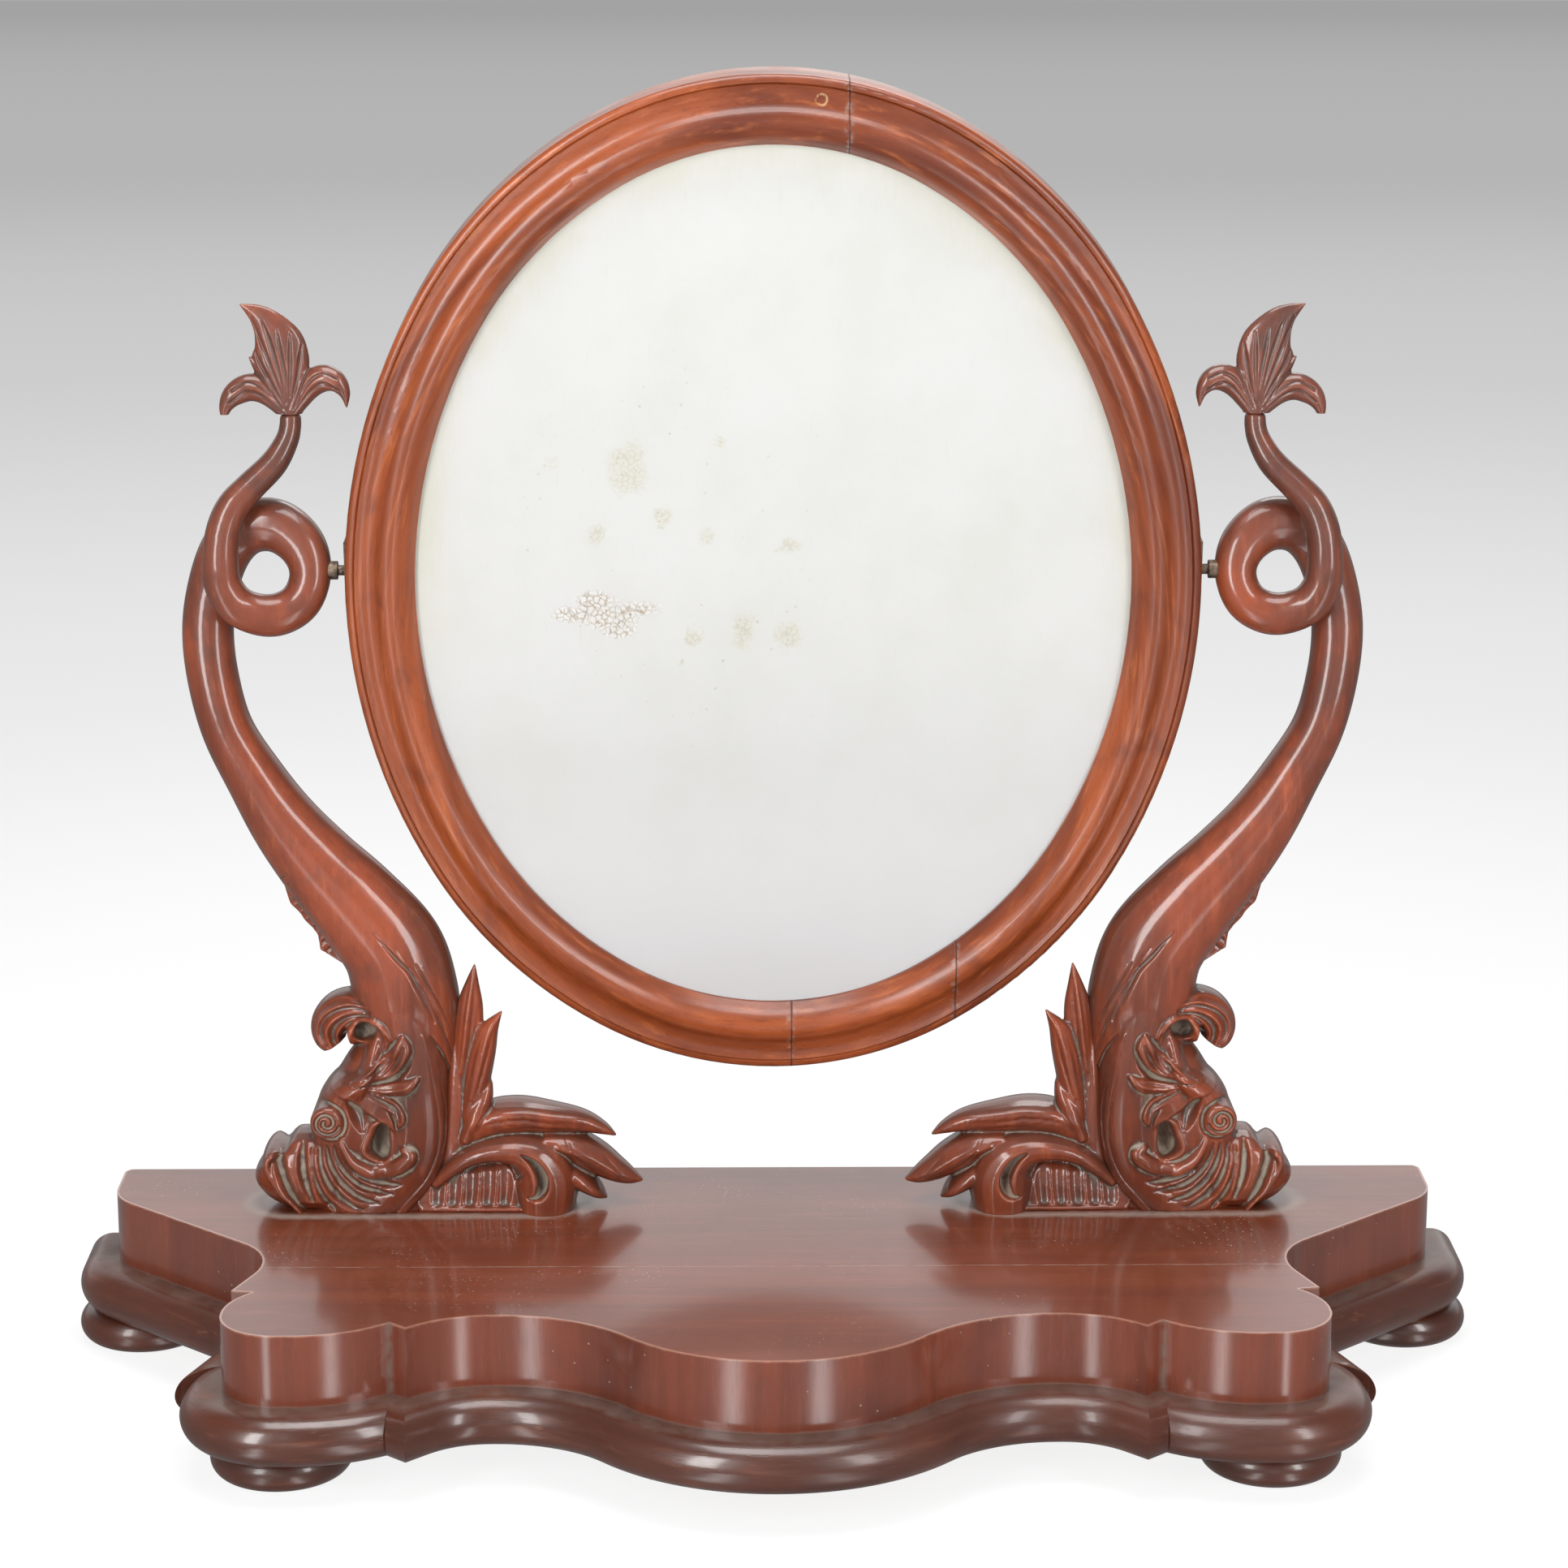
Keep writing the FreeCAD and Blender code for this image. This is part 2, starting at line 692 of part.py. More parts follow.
paired = {
    "dolphin": dolphin,
    "fin_bracket": bracket,
    "tail_fluke": fluke,
    "pivot_pin": pin,
    "pivot_collar": collar,
}
for name, shape in paired.items():
    for side, mirrored in right_and_left(shape).items():
        nodes[side + "_" + name] = mirrored
nodes["upright_screws"] = Part.Compound(on_both_sides(upright_screws))
nodes["tail_dowels"] = Part.Compound(on_both_sides([tail_dowel]))
all_bores = on_both_sides(upright_screw_bores)
nodes["platform_rear_board"] = cut_by(nodes["platform_rear_board"], all_bores)

# Ways up to those screws, wherever they come under a rail

for name in sorted(nodes):
    if name.endswith("_rail"):
        nodes[name] = cut_by(nodes[name], on_both_sides(screw_ways))


# Oval of eight tangent arcs that follows the sight edge, drawn in the mirror's own frame:
# the pivot at the origin, +Z up the glass and the front towards -Y

def oval_arcs():
    """Centre x, centre z, radius, start and end angle of each arc of the sight oval."""
    wide = half_sight_width
    high = half_sight_height
    first = math.radians(side_arc_degrees)
    second = math.radians(90 - side_arc_degrees)
    spread = (wide * wide + high * high) / 2
    middle_radius = (wide * high) ** 2 / spread ** 1.5
    cos_gap = math.cos(first) - math.cos(second)
    sin_gap = math.sin(second) - math.sin(first)
    a1, b1 = 1 - math.cos(first), math.cos(second)
    a2, b2 = math.sin(first), 1 - math.sin(second)
    c1 = wide - middle_radius * cos_gap
    c2 = high - middle_radius * sin_gap
    side_radius = (c1 * b2 - c2 * b1) / (a1 * b2 - a2 * b1)
    end_radius = (a1 * c2 - a2 * c1) / (a1 * b2 - a2 * b1)
    side_x = wide - side_radius
    corner_x = side_x + (side_radius - middle_radius) * math.cos(first)
    corner_z = (side_radius - middle_radius) * math.sin(first)
    end_z = high - end_radius
    near, far_turn = side_arc_degrees, 90 - side_arc_degrees
    return [
        (side_x, 0, side_radius, -near, near),
        (corner_x, corner_z, middle_radius, near, far_turn),
        (0, end_z, end_radius, far_turn, 180 - far_turn),
        (-corner_x, corner_z, middle_radius, 180 - far_turn, 180 - near),
        (-side_x, 0, side_radius, 180 - near, 180 + near),
        (-corner_x, -corner_z, middle_radius, 180 + near, 180 + far_turn),
        (0, -end_z, end_radius, 180 + far_turn, 360 - far_turn),
        (corner_x, -corner_z, middle_radius, 360 - far_turn, 360 - near),
    ]


def oval_point(degrees, outset, y):
    """Point on the sight oval moved outward, by the direction that it faces."""
    turn = degrees % 360
    if turn > 360 - side_arc_degrees:
        turn -= 360
    for x, z, radius, start, end in oval_arcs():
        if start <= turn <= end:
            angle = math.radians(turn)
            reach = radius + outset
            return at(x + reach * math.cos(angle), y, z - centre_below_pivot + reach * math.sin(angle))


def oval_plate(outset, front_y, thickness):
    """Plate of the oval, drawn out by an outset."""
    edges = []
    for x, z, radius, start, end in oval_arcs():
        points = [oval_point(angle, outset, front_y) for angle in (start, (start + end) / 2, end)]
        edges.append(Part.Arc(*points).toShape())
    return Part.Face(Part.Wire(edges)).extrude(at(0, thickness, 0))


def frame_ring():
    """Moulded oval ring, its profile turned round the centre of each arc."""
    profile = [(0, glass_seat_depth, 0)]
    profile += [(r * moulding_width, t * frame_depth, rounding) for r, t, rounding in moulding_shares]
    profile += [
        (moulding_width, frame_side_depth, bead_rounding_share),
        (moulding_width, 0, 0),
        (rebate_width, 0, 0),
        (rebate_width, glass_seat_depth, 0),
    ]
    pieces = []
    for x, z, radius, start, end in oval_arcs():
        centre = at(x, 0, z - centre_below_pivot)
        corners = [(at(centre.x + radius + r, back_y - t, centre.z), share) for r, t, share in profile]
        face = Part.Face(Part.Wire(rounded_edges(corners, True)))
        face.rotate(centre, at(0, -1, 0), start)
        pieces.append(face.revolve(centre, at(0, -1, 0), end - start))
    return pieces[0].fuse(pieces[1:]).removeSplitter()


back_y = frame_side_depth / 2
glass_front_y = back_y - glass_seat_depth
glass_back_y = glass_front_y + glass_thickness


def beside(x_low, x_high, z_low, z_high):
    """Block that picks out one segment of the frame."""
    return box(at(x_low, -far, z_low), at(x_high, far, z_high))


ring = frame_ring()
upper_left = beside(-far, top_joint_x, -centre_below_pivot, far)
lower_left = beside(-far, bottom_joint_x, -far, -centre_below_pivot)
lower_right = beside(bottom_joint_x, lower_joint_x, -far, -centre_below_pivot)
frame_pieces = {
    "left_frame_segment": ring.common(upper_left.fuse(lower_left)),
    "lower_frame_segment": ring.common(lower_right),
    "right_frame_segment": ring.cut([upper_left, lower_left, lower_right]),
}

glass = oval_plate(rebate_width - glass_play, glass_front_y, glass_thickness)
backboard = oval_plate(backboard_lap, back_y, backboard_thickness)

# Wooden blocks that hold the glass, and the screws that hold the backboard

glass_blocks = []
for step in range(glass_block_count):
    angle = 360 * (step + 0.5) / glass_block_count
    middle = oval_point(angle, rebate_width - glass_block_width, glass_back_y)
    half = glass_block_length / 2
    block = box(
        middle + at(0, 0, -half),
        middle + at(glass_block_width, back_y - glass_back_y, half),
    )
    block.rotate(middle, at(0, -1, 0), angle)
    glass_blocks.append(block.cut(ring))

backboard_screws = []
backboard_bores = []
for step in range(backboard_screw_count):
    angle = 360 * (step + 0.5) / backboard_screw_count
    head = oval_point(angle, backboard_lap - backboard_screw_inset, back_y + backboard_thickness)
    forward = at(0, -1, 0)
    sizes = (backboard_screw_diameter, backboard_screw_length)
    backboard_screws.append(wood_screw(head, forward, *sizes, 0))
    backboard_bores.append(wood_screw(head, forward, *sizes, snug_clearance))

# Pivot plates let into the frame's edges

plate_face_x = half_frame_width + plate_proud
plate_low = at(plate_face_x - plate_thickness, -plate_width / 2, -plate_height / 2)
plate_high = at(plate_face_x, plate_width / 2, plate_height / 2)
plate = box(plate_low, plate_high)
play = at(snug_clearance, snug_clearance, snug_clearance)
plate_recess = box(plate_low - play, plate_high + play + at(overrun, 0, 0))
inward = at(-1, 0, 0)
pin_way = cylinder_along(at(half_frame_width - pin_in_frame - pin_tip_clearance, 0, 0),
                         at(plate_face_x + overrun, 0, 0), pin_radius + pin_tip_clearance)
plate_bore = cylinder_along(at(0, 0, 0), at(plate_face_x, 0, 0), pin_radius + pin_running_clearance)
plate_screws = []
plate_screw_bores = []
for up_or_down in (-1, 1):
    head = at(plate_face_x, 0, up_or_down * plate_screw_spacing / 2)
    sizes = (plate_screw_diameter, plate_screw_length)
    plate_screws.append(wood_screw(head, inward, *sizes, 0))
    plate_screw_bores.append(wood_screw(head, inward, *sizes, snug_clearance))
plate = cut_by(plate, [plate_bore] + plate_screw_bores)

plate_cuts = on_both_sides([plate_recess, pin_way] + plate_screw_bores)
for name, shape in frame_pieces.items():
    frame_pieces[name] = cut_by(shape, plate_cuts + backboard_bores)
backboard = cut_by(backboard, backboard_bores)


def hung(shape):
    """Tilt a mirror piece and hang it on the pivots."""
    placed = shape.copy()
    placed.rotate(at(0, 0, 0), at(1, 0, 0), tilt_degrees)
    placed.translate(pivot_point)
    return placed


mirror_pieces = dict(frame_pieces)
mirror_pieces["mirror_glass"] = glass
mirror_pieces["backboard"] = backboard
mirror_pieces["glass_blocks"] = Part.Compound(glass_blocks)
mirror_pieces["backboard_screws"] = Part.Compound(backboard_screws)
mirror_pieces["pivot_plate_screws"] = Part.Compound(on_both_sides(plate_screws))
for side, shape in right_and_left(plate).items():
    mirror_pieces[side + "_pivot_plate"] = shape
for name, shape in mirror_pieces.items():
    nodes[name] = hung(shape)


def report():
    for name in sorted(nodes):
        shape = nodes[name]
        solids = len(shape.Solids)
        print("%-28s solids %d  volume %10.1f  valid %s" % (name, solids, shape.Volume, shape.isValid()))


os.makedirs("parts", exist_ok=True)
for name, shape in nodes.items():
    shape.exportStep("parts/" + name + ".step")
report()
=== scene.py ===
import json
import math

import bmesh
import bpy
import numpy as np
from mathutils import Matrix, Vector


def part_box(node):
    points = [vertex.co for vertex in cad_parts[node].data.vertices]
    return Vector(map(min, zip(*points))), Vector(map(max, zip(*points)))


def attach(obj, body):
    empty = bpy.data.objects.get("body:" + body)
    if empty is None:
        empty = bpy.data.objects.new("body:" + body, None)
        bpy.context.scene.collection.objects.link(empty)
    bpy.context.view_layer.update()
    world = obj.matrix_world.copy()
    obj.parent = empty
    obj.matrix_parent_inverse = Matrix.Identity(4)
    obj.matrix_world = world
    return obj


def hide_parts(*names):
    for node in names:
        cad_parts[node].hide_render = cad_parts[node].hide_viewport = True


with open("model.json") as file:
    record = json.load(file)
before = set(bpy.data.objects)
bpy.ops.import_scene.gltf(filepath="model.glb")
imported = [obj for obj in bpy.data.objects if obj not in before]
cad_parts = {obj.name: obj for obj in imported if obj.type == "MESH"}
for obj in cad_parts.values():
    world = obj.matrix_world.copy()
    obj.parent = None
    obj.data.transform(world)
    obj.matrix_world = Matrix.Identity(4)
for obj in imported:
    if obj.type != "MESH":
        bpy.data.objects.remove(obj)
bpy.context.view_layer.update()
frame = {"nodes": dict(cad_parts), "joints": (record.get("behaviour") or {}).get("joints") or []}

# Places of the stand, in metres
pivot = Vector(frame["joints"][0]["pos_m"])
platform_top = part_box("platform_rear_board")[1].z
board_joint_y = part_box("platform_rear_board")[0].y
plinth_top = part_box("front_veneer")[0].z
front_notch_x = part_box("right_lobe_veneer")[0].x
upright_size = pivot.z - platform_top
collar_sunk = 0.0025
scroll_face_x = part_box("right_pivot_collar")[1].x - collar_sunk

# The oval of the glass, in the mirror's own plane
half_frame_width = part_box("right_frame_segment")[1].x
moulding_width = 0.0371
half_sight_width = half_frame_width - moulding_width
half_sight_height = 0.2389
centre_below_pivot = 0.0095
tilt = math.radians(6.5)

# Joints of the frame: how far across they lie, and 1 for its upper half or -1 for its lower
frame_joints = (
    (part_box("left_frame_segment")[1].x, 1),
    (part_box("lower_frame_segment")[0].x, -1),
    (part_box("lower_frame_segment")[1].x, -1),
)

# Camera of the photograph
image_side = 1932
focal_pixels = 4600
sensor_width = 36.0
camera_place = (-0.0146, -1.8787, 0.7653)
camera_pitch = math.radians(12.57)
camera_yaw = 0.0102


class Value:
    """A shader value that can take part in sums."""

    def __init__(self, nodes, socket):
        self.nodes = nodes
        self.socket = socket

    def __add__(self, other):
        return self.nodes.sum("ADD", self, other)

    def __radd__(self, other):
        return self.nodes.sum("ADD", other, self)

    def __sub__(self, other):
        return self.nodes.sum("SUBTRACT", self, other)

    def __rsub__(self, other):
        return self.nodes.sum("SUBTRACT", other, self)

    def __mul__(self, other):
        return self.nodes.sum("MULTIPLY", self, other)

    def __rmul__(self, other):
        return self.nodes.sum("MULTIPLY", other, self)

    def __truediv__(self, other):
        return self.nodes.sum("DIVIDE", self, other)

    def __rtruediv__(self, other):
        return self.nodes.sum("DIVIDE", other, self)

    def __pow__(self, other):
        return self.nodes.sum("POWER", self, other)

    def __abs__(self):
        return self.nodes.sum("ABSOLUTE", self, 0.0)


class Nodes:
    """A node tree, and the ways to add to it."""

    def __init__(self, tree):
        self.tree = tree
        tree.nodes.clear()

    def node(self, kind, settings, sockets, output=0):
        """A new node: its settings first, then the values or links of its sockets."""
        made = self.tree.nodes.new("ShaderNode" + kind)
        for name, value in settings.items():
            setattr(made, name, value)
        for key, value in sockets.items():
            if isinstance(value, Value):
                self.tree.links.new(value.socket, made.inputs[key])
            else:
                made.inputs[key].default_value = value
        return Value(self, made.outputs[output]) if made.outputs else made

    def sum(self, operation, first, second):
        """One step of arithmetic."""
        return self.node("Math", {"operation": operation}, {0: first, 1: second})

    def either(self, first, second):
        return self.sum("MAXIMUM", first, second)

    def length(self, first, second):
        return (first * first + second * second) ** 0.5

    def place(self):
        """Where a point lies on the object, in metres."""
        return self.node("TexCoord", {}, {}, output=3)

    def mapped(self, vector, scale=(1, 1, 1), move=(0, 0, 0), turn=(0, 0, 0)):
        sockets = {"Vector": vector, "Location": move, "Rotation": turn, "Scale": scale}
        return self.node("Mapping", {}, sockets)

    def parts(self, vector):
        """The x, y and z of a vector."""
        first = self.node("SeparateXYZ", {}, {0: vector})
        outputs = first.socket.node.outputs
        return [Value(self, outputs[index]) for index in range(3)]

    def joined(self, x, y, z):
        return self.node("CombineXYZ", {}, {0: x, 1: y, 2: z})

    def noise(self, vector, scale, detail=2.0, roughness=0.5, distortion=0.0):
        sockets = {"Vector": vector, "Scale": scale, "Detail": detail}
        sockets.update({"Roughness": roughness, "Distortion": distortion})
        return self.node("TexNoise", {}, sockets)

    def stretched_noise(self, vector, scale, detail=2.0, roughness=0.5, distortion=0.0):
        """Noise with a scale of its own along each axis."""
        return self.noise(self.mapped(vector, scale=scale), 1.0, detail, roughness, distortion)

    def cells(self, vector, scale, feature="F1"):
        """Distance to the middle of the nearest cell, or to its edge."""
        return self.node("TexVoronoi", {"feature": feature}, {"Vector": vector, "Scale": scale})

    def between(self, value, low, high):
        """0 below low, 1 above high, smooth between; turned round where low is above high."""
        if low > high:
            return 1.0 - self.between(value, high, low)
        settings = {"interpolation_type": "SMOOTHSTEP"}
        return self.node("MapRange", settings, {0: value, 1: low, 2: high, 3: 0.0, 4: 1.0})

    def near(self, value, middle, width):
        """1 at the middle, 0 beyond the width on either side."""
        return self.between(abs(value - middle), width, 0.0)

    def mix(self, share, low, high):
        return self.node("Mix", {"data_type": "RGBA"}, {0: share, 6: low, 7: high}, output=2)

    def layered(self, colour, *layers):
        """Lays shades over a colour in turn: a mask, the strength of the mask, and the shade."""
        for mask, strength, shade in layers:
            colour = self.mix(mask * strength, colour, shade)
        return colour

    def grey(self, level):
        return self.node("CombineColor", {}, {0: level, 1: level, 2: level})

    def flags(self, *names):
        """1 for the kinds of ray that are named, such as those from the camera or in gloss."""
        outputs = self.node("LightPath", {}, {}).socket.node.outputs
        return [Value(self, outputs[name]) for name in names]

    def surface(self, colour, roughness, height=None, depth=0.0, **others):
        """The finished surface. The height, times a depth in metres, is its bump."""
        sockets = {"Base Color": colour, "Roughness": roughness}
        if height is not None:
            bump = {"Height": height, "Distance": depth, "Strength": 1.0}
            sockets["Normal"] = self.node("Bump", {}, bump)
        sockets.update({name.replace("_", " "): value for name, value in others.items()})
        self.node("OutputMaterial", {}, {"Surface": self.node("BsdfPrincipled", {}, sockets)})


def finish(name):
    """A new material and its empty node tree."""
    material = bpy.data.materials.new(name)
    material.use_nodes = True
    return material, Nodes(material.node_tree)


def tone(red, green, blue):
    """Colour from display values of 0 to 255, as light."""
    shades = []
    for value in (red, green, blue):
        share = value / 255
        shades.append(share / 12.92 if share <= 0.04045 else ((share + 0.055) / 1.055) ** 2.4)
    return (*shades, 1.0)


# Tones of each wood: dark, middle and pale
board_tones = (tone(80, 35, 20), tone(110, 53, 32), tone(134, 71, 45))
fascia_tones = (tone(78, 34, 21), tone(108, 50, 31), tone(134, 69, 43))
moulding_tones = (tone(54, 25, 15), tone(82, 39, 24), tone(112, 60, 38))
frame_tones = (tone(92, 37, 15), tone(146, 70, 32), tone(174, 98, 54))
carving_tones = (tone(84, 36, 19), tone(130, 58, 31), tone(160, 82, 49))
pine_tones = (tone(122, 84, 50), tone(168, 126, 80), tone(196, 156, 108))
beech_tones = (tone(150, 112, 76), tone(186, 146, 104), tone(204, 168, 128))

# Tones of wear, dust and dirt; the pale edge is partly painted highlight
dust_grey = tone(158, 148, 138)
dust_dark = tone(104, 88, 78)
dust_pale = tone(206, 198, 186)
carving_dust = tone(150, 138, 122)
pale_edge_wear_and_highlight = tone(164, 118, 98)
scuffed_wood = tone(150, 100, 76)
smoky_fascia = tone(66, 30, 23)
smoky_moulding = tone(52, 25, 18)
joint_dark = tone(46, 20, 12)
plug_rim = tone(196, 160, 120)
rust_brown = tone(82, 54, 40)

# Tones that time gives the carving, and painted shade for its hollows and for the sides turned from the
# front
carving_grime = tone(92, 44, 30)
carving_age = tone(86, 53, 44)
carving_painted_side_shade = tone(72, 42, 32)
carving_painted_deep_shade = tone(54, 29, 23)
carving_painted_hollow_shade = tone(54, 31, 25)
carving_bright = tone(172, 98, 70)
carving_smoke = tone(64, 41, 34)
carving_stain = tone(74, 40, 31)
carving_warm = tone(146, 66, 34)

# Figure of wood, to the metre, and the depths of its bump in metres
band_scale = 26
fibre_scale = 240
pore_scale = 1500
polished_depth = 0.00008
rubbed_depth = 0.00010
bare_depth = 0.00015
metal_depth = 0.00006
varnish_ior = 1.5


# Wood finishes

def wood(nodes, vector, along, tones, strength=1.0):
    """Colour, fibres and pores of wood. The vector's axes are slowed by along."""
    dark, middle, pale = tones
    slow = Vector(along)
    bands = nodes.stretched_noise(vector, slow * band_scale, 3.0, 0.6, 0.8)
    fibres = nodes.stretched_noise(vector, slow * fibre_scale, 3.0, 0.6, 0.2)
    pores = nodes.between(nodes.stretched_noise(vector, slow * pore_scale, 1.0), 0.60, 0.74)
    colour = nodes.layered(
        nodes.mix(1.0 - nodes.between(bands, 0.7, 0.3) * strength, dark, middle),
        (nodes.between(fibres, 0.52, 0.78), 0.55 * strength, pale),
        (nodes.between(fibres, 0.46, 0.28), 0.45 * strength, dark),
        (pores, 0.5 * strength, dark),
    )
    return colour, fibres, pores


# Dust swept against the foot of each carved upright, and in the joint between the boards
foot_middle_x = scroll_face_x - 0.115 * upright_size
foot_half_length = 0.185 * upright_size
foot_half_depth = 0.078 * upright_size
foot_dust_width = 0.022 * upright_size
foot_dust_ragged = 0.006
board_joint_width = 0.0009


def platform_finish(name, along):
    """Dark polished mahogany of the platform boards, with specks, scratches, dust and a joint."""
    material, nodes = finish(name)
    place = nodes.place()
    x, y, _ = nodes.parts(place)
    colour, fibres, pores = wood(nodes, place, along, board_tones, 0.6)
    clouds = nodes.noise(place, 9.0, 4.0, 0.6, 0.4)
    scatter = nodes.between(nodes.noise(place, 14.0), 0.46, 0.70)
    specks = nodes.between(nodes.cells(place, 260.0), 0.17, 0.08) * scatter
    scratches = nodes.between(nodes.stretched_noise(place, (18, 420, 1), 1.0), 0.72, 0.8)
    ragged = nodes.noise(place, 130.0, 3.0, 0.6)
    beyond = nodes.either(abs(abs(x) - foot_middle_x) - foot_half_length, 0.0)
    away = nodes.length(beyond, y - pivot.y) + (ragged - 0.5) * foot_dust_ragged
    swept = nodes.near(away, foot_half_depth, foot_dust_width)
    seam = nodes.near(y, board_joint_y, board_joint_width)
    colour = nodes.layered(
        colour,
        (nodes.between(clouds, 0.50, 0.72), 0.45, board_tones[0]),
        (specks, 0.5, dust_pale),
        (scratches, 0.18, dust_grey),
        (swept, 0.55, dust_grey),
        (seam * nodes.between(ragged, 0.3, 0.6), 0.5, dust_grey),
    )
    dulled = nodes.either(specks, swept * 0.8)
    roughness = 0.26 + 0.13 * clouds + 0.3 * dulled + 0.1 * scratches
    height = fibres * 0.3 - pores * 0.4 + specks * 0.6 - seam * 1.5
    nodes.surface(colour, roughness, height, polished_depth,
                  Coat_Weight=0.6, Coat_Roughness=0.12, IOR=varnish_ior)
    return material


# Edges of the fascia, from its top, where a pale line is partly wear and partly painted highlight, and
# its foot, and the dust in its front notches
pale_edge_below, pale_edge_above = 0.0004, 0.0009
grimy_above, grimy_below = 0.0008, 0.0006
edge_ragged = 0.0016
notch_dust_width = 0.0035


def veneer_finish(name):
    """Upright grain of the fascia, pale along its top edge with wear and a painted highlight, and dusty
    at its foot and notches.
    """
    material, nodes = finish(name)
    place = nodes.place()
    x, _, z = nodes.parts(place)
    colour, fibres, pores = wood(nodes, place, (1.0, 1.0, 0.07), fascia_tones, 0.55)
    ragged = nodes.noise(place, 160.0, 3.0, 0.6)
    clouds = nodes.noise(place, 16.0, 3.0)
    uneven = ragged * edge_ragged
    edge_wear_and_highlight = nodes.between(z + uneven, platform_top - pale_edge_below, platform_top + pale_edge_above)
    foot = nodes.between(z - uneven, plinth_top + grimy_above, plinth_top - grimy_below)
    notch = nodes.near(abs(x), front_notch_x, notch_dust_width) * nodes.between(ragged, 0.3, 0.6)
    dusty = nodes.either(foot * 0.6, notch)
    nicks = nodes.between(nodes.cells(place, 150.0), 0.10, 0.05) * nodes.between(clouds, 0.5, 0.62)
    colour = nodes.layered(
        colour,
        (nodes.between(clouds, 0.50, 0.70), 0.4, smoky_fascia),
        # pale top edge: partly wear, partly painted highlight
        (edge_wear_and_highlight, 0.6, pale_edge_wear_and_highlight),
        (dusty, 0.7, dust_dark),
        (nicks, 0.6, dust_grey),
    )
    roughness = 0.24 + 0.1 * clouds + 0.4 * dusty
    height = fibres * 0.3 - pores * 0.5 - nicks
    nodes.surface(colour, roughness, height, polished_depth,
                  Coat_Weight=1.0, Coat_Roughness=0.13, IOR=varnish_ior)
    return material


# Dust on the top of the moulding, where it meets the fascia
ledge_ragged = 0.002
ledge_low, ledge_high = 0.0001, 0.0016


def moulding_finish(name):
    """Dark half-round moulding, rubbed and scuffed, its grain running round the base."""
    material, nodes = finish(name)
    place = nodes.place()
    z = nodes.parts(place)[2]
    colour, fibres, pores = wood(nodes, place, (0.10, 0.10, 1.0), moulding_tones, 0.7)
    ragged = nodes.noise(place, 90.0, 4.0, 0.65)
    clouds = nodes.noise(place, 12.0, 3.0)
    dents = nodes.noise(place, 45.0)
    dusty = nodes.between(z + ragged * ledge_ragged, plinth_top + ledge_low, plinth_top + ledge_high)
    scuffs = nodes.between(nodes.stretched_noise(place, (14, 14, 70), 4.0, 0.7, 0.6), 0.62, 0.72)
    rubbed = nodes.between(clouds, 0.40, 0.60)
    colour = nodes.layered(
        colour,
        (dusty, 0.4, dust_dark),
        (scuffs, 0.3, scuffed_wood),
        (nodes.between(clouds, 0.48, 0.68), 0.4, smoky_moulding),
    )
    roughness = 0.27 + 0.19 * clouds + 0.4 * dusty + 0.15 * scuffs
    height = fibres * 0.4 - pores * 0.6 - scuffs * 0.5 + dents * 1.6
    nodes.surface(colour, roughness, height, rubbed_depth, IOR=varnish_ior,
                  Coat_Weight=0.62 - 0.36 * rubbed - 0.2 * scuffs, Coat_Roughness=0.14)
    return material


def oval_place(nodes):
    """The mirror's own plane, with across, up and reach there in shares of the oval."""
    middle = pivot + Matrix.Rotation(tilt, 3, "X") @ Vector((0, 0, -centre_below_pivot))
    turned = Matrix.Rotation(-tilt, 3, "X") @ middle
    plane = nodes.mapped(nodes.place(), move=-turned, turn=(-tilt, 0, 0))
    x, _, z = nodes.parts(plane)
    across = x / half_sight_width
    up = z / half_sight_height
    return plane, across, up, nodes.length(across, up)


# A plug set in the frame beside its upper joint, in the mirror's own plane
plug_across = 0.0245
plug_up = 0.2628
plug_reach = 0.0028
plug_rim_width = 0.0010

# Hairlines at the joints of the frame, scuffed beside them
joint_low, joint_high = 0.1, 0.12
hairline_width = 0.0007
joint_scuff_aside = 0.0015
joint_scuff_width = 0.004
joint_scuff_ragged = 0.003

# Grain of the frame: the ring that it is wound on, and how far it spreads across the moulding
grain_ring = 0.045
grain_spread = 0.23


